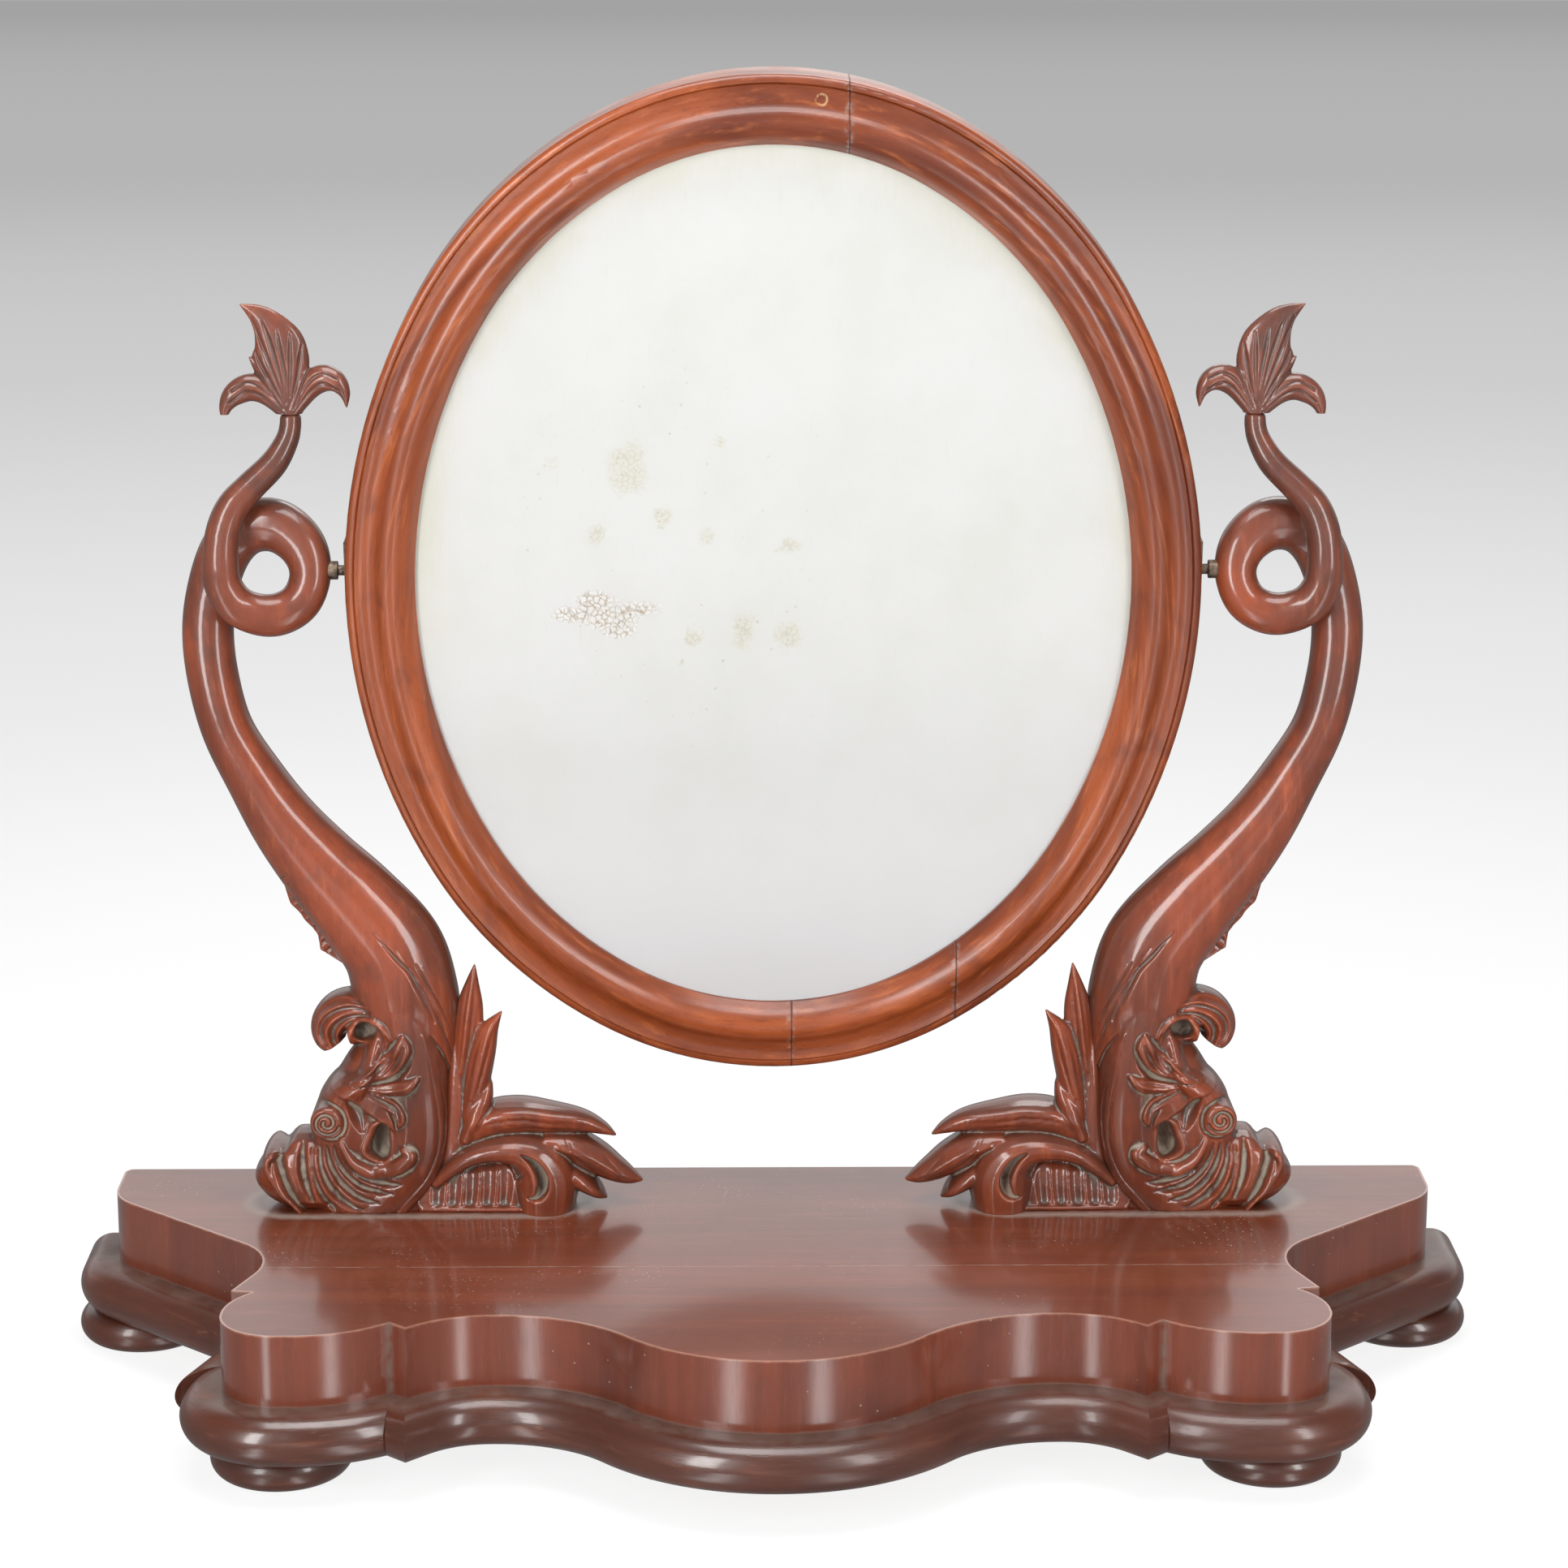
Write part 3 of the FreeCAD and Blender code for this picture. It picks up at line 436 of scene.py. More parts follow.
def frame_finish(name):
    """Orange polished mahogany whose grain follows the oval, with hairline joints and a plug."""
    material, nodes = finish(name)
    plane, across, up, reach = oval_place(nodes)
    x, y, z = nodes.parts(plane)
    ring = nodes.joined(across / reach * grain_ring, y, up / reach * grain_ring + reach * grain_spread)
    colour, fibres, pores = wood(nodes, ring, (1.0, 1.0, 1.0), frame_tones)
    place = nodes.place()
    stains = nodes.noise(place, 22.0, 4.0, 0.6, 0.5)
    ragged = nodes.noise(place, 240.0, 3.0, 0.6)
    from_plug = nodes.length(x - plug_across, z - plug_up)
    rim = nodes.near(from_plug, plug_reach, plug_rim_width) * nodes.between(ragged, 0.35, 0.55)
    rough_x = x + ragged * joint_scuff_ragged
    line = 0.0
    scuff = 0.0
    for joint_x, side in frame_joints:
        here = nodes.between(z * side, joint_low, joint_high)
        line = nodes.either(line, nodes.near(x, joint_x, hairline_width) * here)
        beside = nodes.near(rough_x, joint_x + joint_scuff_aside, joint_scuff_width)
        scuff = nodes.either(scuff, beside * here)
    back_edge = nodes.between(y, 0.0, 0.006) * nodes.between(reach, 1.1, 1.16)
    colour = nodes.layered(
        colour,
        (nodes.between(stains, 0.56, 0.72), 0.6, frame_tones[0]),
        (rim, 0.75, plug_rim),
        (nodes.between(from_plug, plug_reach, plug_reach * 0.6), 0.35, frame_tones[0]),
        (scuff * nodes.between(ragged, 0.48, 0.66), 0.4, dust_grey),
        (line, 1.0, joint_dark),
        (back_edge * nodes.between(stains, 0.4, 0.6), 0.35, dust_grey),
    )
    roughness = 0.27 + 0.16 * stains + 0.3 * line
    height = fibres * 0.35 - pores * 0.4 - line * 3.0
    nodes.surface(colour, roughness, height, polished_depth,
                  Coat_Weight=0.2, Coat_Roughness=0.16, IOR=varnish_ior)
    return material


# Heights on the uprights, in shares: grime lies low, and age shows high
grime_from, grime_to = 0.40, 0.16
age_from, age_to = 0.70, 1.25


def carved_finish(name):
    """Carved mahogany: dust lies in the hollows, and the ridges are rubbed bright; painted shade darkens
    the hollows and the sides turned from the front.
    """
    material, nodes = finish(name)
    place = nodes.place()
    colour, fibres, pores = wood(nodes, place, (1.0, 1.0, 0.12), carving_tones, 0.8)
    marks = []
    for mark in ("hollow", "deep", "turned"):
        marks.append(nodes.node("Attribute", {"attribute_name": mark}, {}, output=2))
    hollow, deep, turned = marks
    ragged = nodes.noise(place, 120.0, 4.0, 0.65)
    patches = nodes.noise(place, 30.0, 3.0, 0.6)
    stains = nodes.noise(place, 11.0, 4.0, 0.6)
    smoke = nodes.between(nodes.noise(place, 24.0, 4.0, 0.65), 0.51, 0.64)
    near = hollow + (ragged - 0.5) * 0.25
    far = deep + (patches - 0.5) * 0.2
    height = nodes.parts(place)[2] - platform_top
    lower = nodes.between(height, grime_from * upright_size, grime_to * upright_size)
    aged = nodes.between(height, age_from * upright_size, age_to * upright_size)
    dust_field = nodes.between(ragged, 0.24, 0.52) * (0.3 + 0.7 * lower)
    dusty = nodes.either(nodes.between(near, 0.60, 0.82), nodes.between(far, 0.60, 0.9)) * dust_field
    colour = nodes.layered(
        colour,
        (lower * nodes.between(patches, 0.25, 0.60), 0.25, carving_grime),
        (aged, 0.6, carving_age),
        # painted shade on the sides turned from the front
        (nodes.between(turned + (patches - 0.5) * 0.3, 0.25, 0.70), 0.6, carving_painted_side_shade),
        # painted shade in the broad, deep hollows
        (nodes.between(far, 0.51, 0.80), 0.85, carving_painted_deep_shade),
        # painted shade in the small hollows
        (nodes.between(near, 0.52, 0.70), 0.85, carving_painted_hollow_shade),
        (dusty, 0.8, carving_dust),
        (nodes.between(near, 0.42, 0.22), 0.2, carving_bright),
        (smoke, 0.3 + 0.3 * aged, carving_smoke),
        (nodes.between(stains, 0.54, 0.70), 0.6, carving_stain),
        (nodes.between(stains, 0.46, 0.30), 0.55 - 0.35 * lower, carving_warm),
    )
    roughness = 0.36 + 0.14 * patches + 0.35 * dusty
    relief = fibres * 0.5 - pores * 0.5 + ragged * dusty
    nodes.surface(colour, roughness, relief, rubbed_depth, IOR=varnish_ior, Specular_IOR_Level=0.3,
                  Coat_Weight=0.7 - 0.65 * dusty, Coat_Roughness=0.13)
    return material


def plain_wood_finish(name, along, tones):
    """Unpolished wood of the inner rails, blocks, dowels and backboard."""
    material, nodes = finish(name)
    place = nodes.place()
    colour, fibres, pores = wood(nodes, place, along, tones)
    age = nodes.noise(place, 11.0, 4.0, 0.6, 0.4)
    colour = nodes.layered(colour, (nodes.between(age, 0.5, 0.75), 0.5, tones[0]))
    nodes.surface(colour, 0.62 + 0.2 * age, fibres * 0.6 - pores * 0.6, bare_depth)
    return material


def metal_finish(name, dark, bright, roughness):
    """Old iron or steel, browned in patches."""
    material, nodes = finish(name)
    place = nodes.place()
    patches = nodes.noise(place, 260.0, 4.0, 0.65)
    rust = nodes.between(nodes.noise(place, 110.0, 3.0, 0.6), 0.52, 0.68)
    colour = nodes.mix(nodes.between(patches, 0.35, 0.65), dark, bright)
    colour = nodes.layered(colour, (rust, 0.7, rust_brown))
    nodes.surface(colour, roughness + 0.25 * rust + 0.1 * patches, patches + rust * 0.6, metal_depth,
                  Metallic=0.95 - 0.7 * rust)
    return material


# Foxing on the silver: places in shares of the glass's half width and half height, then a reach
foxing_shares = [
    (-0.420, 0.300, 0.060),
    (-0.395, 0.255, 0.065),
    (-0.305, 0.168, 0.026),
    (-0.310, 0.140, 0.020),
    (-0.185, 0.122, 0.035),
    (-0.605, 0.300, 0.022),
    (-0.225, -0.110, 0.024),
    (-0.085, -0.095, 0.050),
    (0.045, -0.110, 0.048),
    (-0.255, -0.172, 0.016),
    (0.065, 0.048, 0.016),
    (0.040, 0.105, 0.030),
    (-0.140, 0.335, 0.020),
    (-0.490, 0.125, 0.030),
]

# Crackled patch: places in the same shares, then how wide and how high
crackle_shares = [
    (-0.565, -0.060, 0.055, 0.020),
    (-0.500, -0.030, 0.055, 0.028),
    (-0.450, -0.065, 0.075, 0.028),
    (-0.370, -0.045, 0.065, 0.018),
    (-0.430, -0.100, 0.050, 0.018),
]

# Tones of the silver, from its clear middle to its marks; the pale middle is partly the silver's haze and
# partly painted reflection, and the glass is painted darker towards its foot as dimmer reflection
silver_clear = tone(226, 226, 224)
silver_cloud = tone(222, 222, 218)
silver_wisp = tone(212, 213, 208)
silver_painted_dim_reflection = tone(206, 207, 208)
silver_painted_dark_reflection = tone(186, 187, 188)
silver_yellow = tone(214, 208, 172)
foxing_stain = tone(206, 198, 146)
foxing_brown = tone(116, 106, 74)
crackle_stain = tone(196, 184, 150)
crackle_brown = tone(122, 102, 74)


def silvered_glass_finish(name):
    """Old silvering behind glass: hazy, foxed in clusters, crackled in a patch, yellow at the edge. Its
    pale colour is partly painted reflection, darker towards the foot.
    """
    material, nodes = finish(name)
    plane, across, up, reach = oval_place(nodes)
    cloud = nodes.noise(plane, 14.0, 4.0, 0.6)
    wisps = nodes.stretched_noise(plane, (420, 1, 60), 3.0, 0.6)
    ragged = nodes.noise(plane, 70.0, 4.0, 0.65)
    specks = nodes.noise(plane, 420.0, 4.0, 0.7)
    fine = nodes.noise(plane, 900.0, 2.0, 0.6)
    rim = nodes.between(reach + (cloud - 0.5) * 0.16 + (wisps - 0.5) * 0.1, 0.90, 1.02)
    shift = nodes.joined((ragged - 0.5) * 0.006, 0.0, (fine - 0.5) * 0.003)
    warped = nodes.node("VectorMath", {"operation": "ADD"}, {0: plane, 1: shift})
    web = nodes.between(nodes.cells(warped, 320.0, "DISTANCE_TO_EDGE"), 0.16, 0.05)
    web = web * nodes.between(specks, 0.36, 0.50)
    dots = nodes.between(nodes.cells(plane, 260.0), 0.30, 0.16) * nodes.between(specks, 0.47, 0.56)
    spotted = 0.0
    rough_edge = (ragged - 0.5) * 0.14 + (specks - 0.5) * 0.05
    for spot_across, spot_up, spot_reach in foxing_shares:
        aside = across - spot_across
        above = (up - spot_up) * (half_sight_height / half_sight_width)
        away = nodes.length(aside, above) + rough_edge
        spotted = nodes.either(spotted, nodes.between(away, spot_reach, spot_reach * 0.3))
    field = nodes.between(nodes.length(across + 0.3, up - 0.08), 0.62, 0.25)
    sparse = nodes.between(nodes.cells(plane, 120.0), 0.13, 0.07) * nodes.between(cloud, 0.42, 0.56)
    foxed = nodes.either(spotted * nodes.either(web * 0.7, dots), sparse * field)
    patch = 0.0
    rough_edge = (ragged - 0.5) * 1.6 + (specks - 0.5) * 1.6
    for crack_across, crack_up, crack_wide, crack_high in crackle_shares:
        aside = (across - crack_across) / crack_wide
        above = (up - crack_up) / crack_high
        away = nodes.length(aside, above) + rough_edge
        patch = nodes.either(patch, nodes.between(away, 1.10, 0.75))
    crackle = web * patch
    colour = nodes.layered(
        # pale silver: partly haze, partly painted reflection
        nodes.mix(nodes.between(cloud, 0.35, 0.7), silver_clear, silver_cloud),
        (nodes.between(wisps, 0.58, 0.75), 0.25, silver_wisp),
        # painted dimmer reflection towards the foot of the glass
        (nodes.between(up, 0.0, -0.4), 0.2, silver_painted_dim_reflection),
        (nodes.between(up, -0.3, -1.0), 1.0, silver_painted_dark_reflection),
        (rim * nodes.between(up, -0.3, 0.1), 0.3, silver_yellow),
        (spotted, 0.2, foxing_stain),
        (patch, 0.08, crackle_stain),
        (foxed, 0.5, foxing_brown),
        (crackle, 0.75, crackle_brown),
    )
    marked = nodes.either(foxed * 0.6, nodes.either(crackle, patch * 0.2))
    silver = nodes.between(up, -0.95, -0.35)
    nodes.surface(colour, 0.05 + 0.06 * cloud + 0.3 * marked, Coat_Weight=0.25, Coat_Roughness=0.05,
                  Metallic=0.06 + silver * (0.36 - 0.3 * marked))
    return material


# Carving: swelling limbs in thousandths of the pivot's height above the platform
thousandth = upright_size / 1000


def upright_place(out, up, forward):
    """Place on the right-hand upright: outward from the scroll's face, up, and forward."""
    x = scroll_face_x + out * thousandth
    return Vector((x, pivot.y - forward * thousandth, platform_top + up * thousandth))


def smooth_rows(rows, steps):
    """The rows, with more between them on a smooth curve through them."""
    known = np.array(rows, float)
    ends = np.vstack([2 * known[0] - known[1], known, 2 * known[-1] - known[-2]])
    result = []
    for index in range(len(known) - 1):
        before, start, end, after = ends[index:index + 4]
        for step in range(steps):
            t = step / steps
            bend = 2 * before - 5 * start + 4 * end - after
            swing = 3 * start - before - 3 * end + after
            result.append((2 * start + (end - before) * t + bend * t ** 2 + swing * t ** 3) / 2)
    result.append(known[-1])
    return np.array(result)


least_half_width = 0.8


def section_place(rows, index):
    """Matrix that lays a unit circle across a limb at one of its rows."""
    ahead = upright_place(*rows[min(index + 1, len(rows) - 1)][:3])
    behind = upright_place(*rows[max(index - 1, 0)][:3])
    along = ahead - behind
    along.y = 0
    along.normalize()
    across = along.cross(Vector((0, 1, 0)))
    half_width = max(rows[index][3], least_half_width) * thousandth
    half_thickness = max(rows[index][4], least_half_width) * thousandth
    columns = (across * half_width, Vector((0, half_thickness, 0)), along)
    turn = Matrix(columns).transposed().to_4x4()
    return Matrix.Translation(upright_place(*rows[index][:3])) @ turn


def of_kind(items, kind):
    return [item for item in items if isinstance(item, kind)]


def add_drawn(shape, places, sides, square=None):
    """Adds a section drawn through its places, closed at both ends. Square rounds its corners less."""
    limb = bmesh.new()
    ring = bmesh.ops.create_circle(limb, segments=sides, radius=1.0)["verts"]
    if square:
        for corner in ring:
            corner.co /= (abs(corner.co.x) ** square + abs(corner.co.y) ** square) ** (1 / square)
    bmesh.ops.transform(limb, matrix=places[0], verts=ring)
    edges = list(limb.edges)
    bmesh.ops.contextual_create(limb, geom=edges)
    for last, this in zip(places, places[1:]):
        grown = bmesh.ops.extrude_edge_only(limb, edges=edges)["geom"]
        ring = set(of_kind(grown, bmesh.types.BMVert))
        edges = [edge for edge in of_kind(grown, bmesh.types.BMEdge) if set(edge.verts) <= ring]
        bmesh.ops.transform(limb, matrix=this @ last.inverted(), verts=list(ring))
    bmesh.ops.contextual_create(limb, geom=edges)
    bmesh.ops.recalc_face_normals(limb, faces=limb.faces)
    copy_into(shape, limb)


def add_limb(shape, rows, sides=20, steps=5, square=2.0):
    """Adds a limb to the shape: a rounded section drawn along its rows."""
    rows = smooth_rows(rows, steps)
    places = [section_place(rows, index) for index in range(len(rows))]
    add_drawn(shape, places, sides, square)


def copy_into(shape, added):
    """Adds a mesh in the making to another, and frees it."""
    carrier = bpy.data.meshes.new("carrier")
    added.to_mesh(carrier)
    added.free()
    shape.from_mesh(carrier)
    bpy.data.meshes.remove(carrier)


def reworked(mesh, kind, **settings):
    """The mesh after one modifier, in place of the old one."""
    name = mesh.name
    holder = bpy.data.objects.new(name, mesh)
    bpy.context.scene.collection.objects.link(holder)
    modifier = holder.modifiers.new(name, kind)
    for key, value in settings.items():
        setattr(modifier, key, value)
    seen = holder.evaluated_get(bpy.context.evaluated_depsgraph_get())
    made = bpy.data.meshes.new_from_object(seen)
    bpy.data.objects.remove(holder)
    bpy.data.meshes.remove(mesh)
    made.name = name
    return made


def fused(name, shape, voxel):
    """One closed skin over everything in the shape."""
    rough = bpy.data.meshes.new(name)
    shape.to_mesh(rough)
    shape.free()
    return reworked(rough, "REMESH", mode="VOXEL", voxel_size=voxel)


def thinned(mesh, most):
    """The mesh with flat places given fewer faces, down to a number of triangles."""
    mesh.calc_loop_triangles()
    count = len(mesh.loop_triangles)
    if count <= most:
        return mesh
    return reworked(mesh, "DECIMATE", ratio=most / count)


def trim_below(mesh, level):
    """Cuts a mesh flat at a level and closes the cut."""
    shape = bmesh.new()
    shape.from_mesh(mesh)
    everything = list(shape.verts) + list(shape.edges) + list(shape.faces)
    cut = bmesh.ops.bisect_plane(
        shape, geom=everything, plane_co=(0, 0, level), plane_no=(0, 0, 1), clear_inner=True)
    bmesh.ops.holes_fill(shape, edges=of_kind(cut["geom_cut"], bmesh.types.BMEdge), sides=0)
    shape.to_mesh(mesh)
    shape.free()


def step_up(values, low, high):
    """0 below low, 1 above high, smooth between."""
    t = np.clip((values - low) / (high - low), 0, 1)
    return t * t * (3 - 2 * t)


# Section of a stroke, from its middle at 0 to its edge at 1
flat_rim = 0.35
stroke_profiles = {
    "round": lambda share: np.sqrt(1 - share ** 2),
    "flute": lambda share: 1 - share ** 2,
    "line": lambda share: step_up(1 - share, 0.0, 1.0),
    "flat": lambda share: step_up(1 - share, 0.0, flat_rim),
}
stroke_steps = 8

# A stroke works on faces that turn to the front or back, from not at all to in full
turned_away, turned_full = 0.10, 0.45
tiny = 1e-6


class Skin:
    """Vertices of a carved mesh, to be eased and cut."""

    def __init__(self, mesh):
        self.mesh = mesh
        count = len(mesh.vertices)
        self.points = np.empty(count * 3, np.float32)
        mesh.vertices.foreach_get("co", self.points)
        self.points = self.points.reshape(-1, 3).astype(float)
        edges = np.empty(len(mesh.edges) * 2, np.int32)
        mesh.edges.foreach_get("vertices", edges)
        pairs = edges.reshape(-1, 2)
        self.ends = np.concatenate([pairs, pairs[:, ::-1]])
        self.degree = np.maximum(np.bincount(self.ends[:, 0], minlength=count), 1)[:, None]

    def around(self, values):
        """Mean of each vertex's neighbours."""
        first, second = self.ends[:, 0], self.ends[:, 1]
        columns = [np.bincount(first, values[second, c], len(values)) for c in range(values.shape[1])]
        return np.stack(columns, axis=1) / self.degree

    def eased(self, points, rounds, share):
        """The points, drawn towards their neighbours a number of times."""
        for _ in range(rounds):
            points = points + (self.around(points) - points) * share
        return points

    def ease(self, rounds, share):
        self.points = self.eased(self.points, rounds, share)

    def store(self):
        """Writes the vertices back to the mesh."""
        self.mesh.vertices.foreach_set("co", self.points.astype(np.float32).ravel())
        self.mesh.update()

    def normals(self):
        """Direction that each vertex faces."""
        self.store()
        normals = np.empty(len(self.points) * 3, np.float32)
        self.mesh.vertices.foreach_get("normal", normals)
        return normals.reshape(-1, 3).astype(float)

    def shares(self):
        """Out and up of every vertex, in thousandths."""
        out = (self.points[:, 0] - scroll_face_x) / thousandth
        up = (self.points[:, 2] - platform_top) / thousandth
        return out, up

    def relief(self, strokes):
        """Works strokes into the front and back: a profile, then rows of out, up, half width and depth.
        A negative depth raises. Where strokes of one sign meet, the stronger holds."""
        toward = self.eased(self.normals(), rounds=4, share=0.5)[:, 1]
        out, up = self.shares()
        facing = np.sign(toward) * step_up(np.abs(toward), turned_away, turned_full)
        sunk = np.zeros(len(self.points))
        raised = np.zeros(len(self.points))
        for profile, rows in strokes:
            line = smooth_rows(rows, stroke_steps)
            margin = line[:, 2].max()
            low = line[:, :2].min(0) - margin
            high = line[:, :2].max(0) + margin
            inside = np.flatnonzero((out > low[0]) & (out < high[0]) & (up > low[1]) & (up < high[1]))
            spots = np.stack([out[inside], up[inside]], axis=1)
            best = np.full(len(inside), np.inf)
            depth = np.zeros(len(inside))
            for start, end in zip(line, line[1:]):
                run = end[:2] - start[:2]
                t = np.clip(((spots - start[:2]) @ run) / max(run @ run, tiny ** 2), 0, 1)
                away = np.hypot(*(spots - start[:2] - t[:, None] * run).T)
                width = start[2] + t * (end[2] - start[2])
                share = away / np.maximum(width, tiny)
                nearer = share < best
                best = np.where(nearer, share, best)
                depth = np.where(nearer, start[3] + t * (end[3] - start[3]), depth)
            change = depth * stroke_profiles[profile](np.clip(best, 0, 1))
            sunk[inside] = np.maximum(sunk[inside], change)
            raised[inside] = np.maximum(raised[inside], -change)
        self.points[:, 1] += (raised - sunk) * facing * thousandth

    def mark_hollows(self, name, rounds, depth):
        """Keeps how far each vertex lies below the shape around it, for dust and shade."""
        normals = self.normals()
        level = self.eased(self.points, rounds, share=0.6)
        below = ((level - self.points) * normals).sum(1)
        hollow = np.clip(0.5 + below / (2 * depth), 0, 1)
        self.mark(name, self.eased(hollow[:, None], rounds=1, share=0.5)[:, 0])

    def mark_sides(self):
        """Keeps how far each vertex turns from the front, for the painted shade on the sides."""
        front = np.clip(-self.normals()[:, 1:2], 0, 1)
        self.mark("turned", 1 - self.eased(front, rounds=6, share=0.5)[:, 0])

    def mark(self, name, values):
        """Keeps a value at each vertex, for the finish to read."""
        self.store()
        attribute = self.mesh.attributes.new(name, "FLOAT", "POINT")
        attribute.data.foreach_set("value", values.astype(np.float32))


most_triangles = 190000
deep_hollow = 0.0030


def finished_carving(mesh, foot, hollow_rounds, hollow_depth, deep_rounds):
    """Cuts a carving flat at its foot, thins it, and marks its hollows and sides for the finish."""
    trim_below(mesh, foot)
    Skin(mesh).mark_hollows("hollow", hollow_rounds, hollow_depth)
    mesh = thinned(mesh, most_triangles)
    skin = Skin(mesh)
    skin.mark_hollows("deep", deep_rounds, deep_hollow)
    skin.mark_sides()
    return mesh


def stroke(profile, sizes, *places):
    """A stroke through places of out and up, with a half width and a depth at each."""
    return profile, [(*place, *size) for place, size in zip(places, sizes)]


# Dolphin: rows of out, up, forward, half width and half thickness
body_shares = [
    (-30, -30, 0, 105, 56),
    (-52, 30, 0, 124, 64),
    (-68, 100, 0, 112, 67),
    (-72, 150, 0, 108, 68),
    (-86, 200, 0, 92, 70),
    (-100, 245, 0, 80, 70),
    (-103, 290, 0, 80, 71),
    (-99, 340, 0, 82, 74),
    (-80, 410, 0, 79, 71),
    (-25, 482, 0, 72, 65),
    (28, 542, 0, 63.5, 59),
    (78, 606, 0, 54.5, 53),
    (121, 676, 0, 46, 48),
    (163, 754, -4, 40.3, 43),
    (184, 836, -10, 39.7, 40),
    (190, 909, -18, 39.5, 38),
    (180, 975, -24, 39, 37),
    (158, 1030, -26, 40, 37),
    (124, 1062, -24, 41, 37),
    (80, 1065, -18, 41, 36),
    (43, 1037, -9, 37, 34),
    (30, 995, 0, 31.8, 32),
    (47, 952, 9, 32, 32),
    (88, 934, 18, 33, 31),
    (134, 948, 28, 31, 30),
    (157, 982, 35, 29, 29),
    (160, 1018, 37, 27.5, 28),
    (156, 1062, 35, 26.2, 27),
    (141, 1100, 29, 25, 26),
    (115, 1129, 22, 23.2, 24),
    (79, 1164, 14, 21.4, 22),
    (59, 1198, 7, 18.2, 19),
    (53.5, 1220, 3, 16.8, 17.5),
    (53.5, 1238, 3, 16.5, 17),
]
gill_cover_shares = [
    (-92, 370, 0, 40, 68),
    (-100, 310, 0, 42, 75),
    (-108, 260, 0, 42, 77),
    (-114, 210, 0, 44, 78),
    (-117, 160, 0, 46, 78),
    (-114, 112, 0, 47, 77),
    (-100, 66, 0, 44, 75),
    (-74, 28, 0, 38, 71),
    (-42, 4, 0, 30, 66),
    (-10, -12, 0, 22, 58),
]
face_shares = [
    (-22, -20, 0, 70, 60),
    (-22, 40, 0, 84, 72),
    (-14, 95, 0, 72, 76),
    (-12, 140, 0, 60, 76),
    (-12, 176, 0, 45, 73),
    (-24, 200, 0, 30, 69),
]
snout_shares = [
    (10, 56, 0, 62, 72),
    (50, 57, 0, 63, 72),
    (84, 60, 0, 60, 70),
    (106, 68, 0, 48, 66),
    (119, 80, 0, 28, 56),
]
stem_shares = [
    (-62, 296, 0, 12, 50),
    (-60, 280, 0, 16, 62),
    (-55, 260, 0, 20, 70),
    (-50, 240, 0, 21, 74),
    (-44, 222, 0, 22, 76),
    (-31, 206, 0, 26, 77),
    (-8, 188, 0, 32, 76),
    (4, 165, 0, 36, 74),
    (8, 140, 0, 36, 72),
]
crest_shares = [
    (-78, 282, 0, 14, 44),
    (-56, 310, 0, 20, 49),
    (-26, 321, 0, 25, 51),
    (2, 312, 0, 30, 51),
    (18, 292, 0, 30, 49),
    (19, 273, 0, 27, 44),
    (11, 259, 0, 22, 36),
]
crest_web_shares = [
    (-66, 270, 0, 26, 50),
    (-40, 286, 0, 28, 50),
    (-12, 284, 0, 26, 46),
]
lip_shares = [
    (90, 82, 0, 8, 58),
    (102, 90, 0, 10, 64),
    (111, 90, 0, 11, 68),
    (116, 81, 0, 11, 70),
    (114, 68, 0, 11, 71),
    (106, 51, 0, 10, 71),
    (93, 31, 0, 10, 71),
    (77, 14, 0, 9, 68),
    (62, -8, 0, 8, 62),
]

# Dorsal fin: corners of its plate, out and up
fin_plate_shares = [
    (100, 575),
    (90, 520),
    (78, 476),
    (64, 463),
    (55, 448),
    (46, 440),
    (36, 427),
    (33, 403),
    (21, 396),
    (-20, 368),
    (-20, 480),
    (60, 575),
]
fin_forward_share = -20
fin_thickness_share = 17

# The eye's round: out, up, reach, and how far it stands forward
eye_shares = (20.6, 150, 25.5, 80)
eye_turns = 1.55
winding_rows_per_turn = 24
fewest_winding_rows = 8

# Rims of a round: how far along it, and its reach there
round_rims = ((-1.0, 0.78), (-0.93, 1.0), (0.93, 1.0), (1.0, 0.78))
round_sides = 32

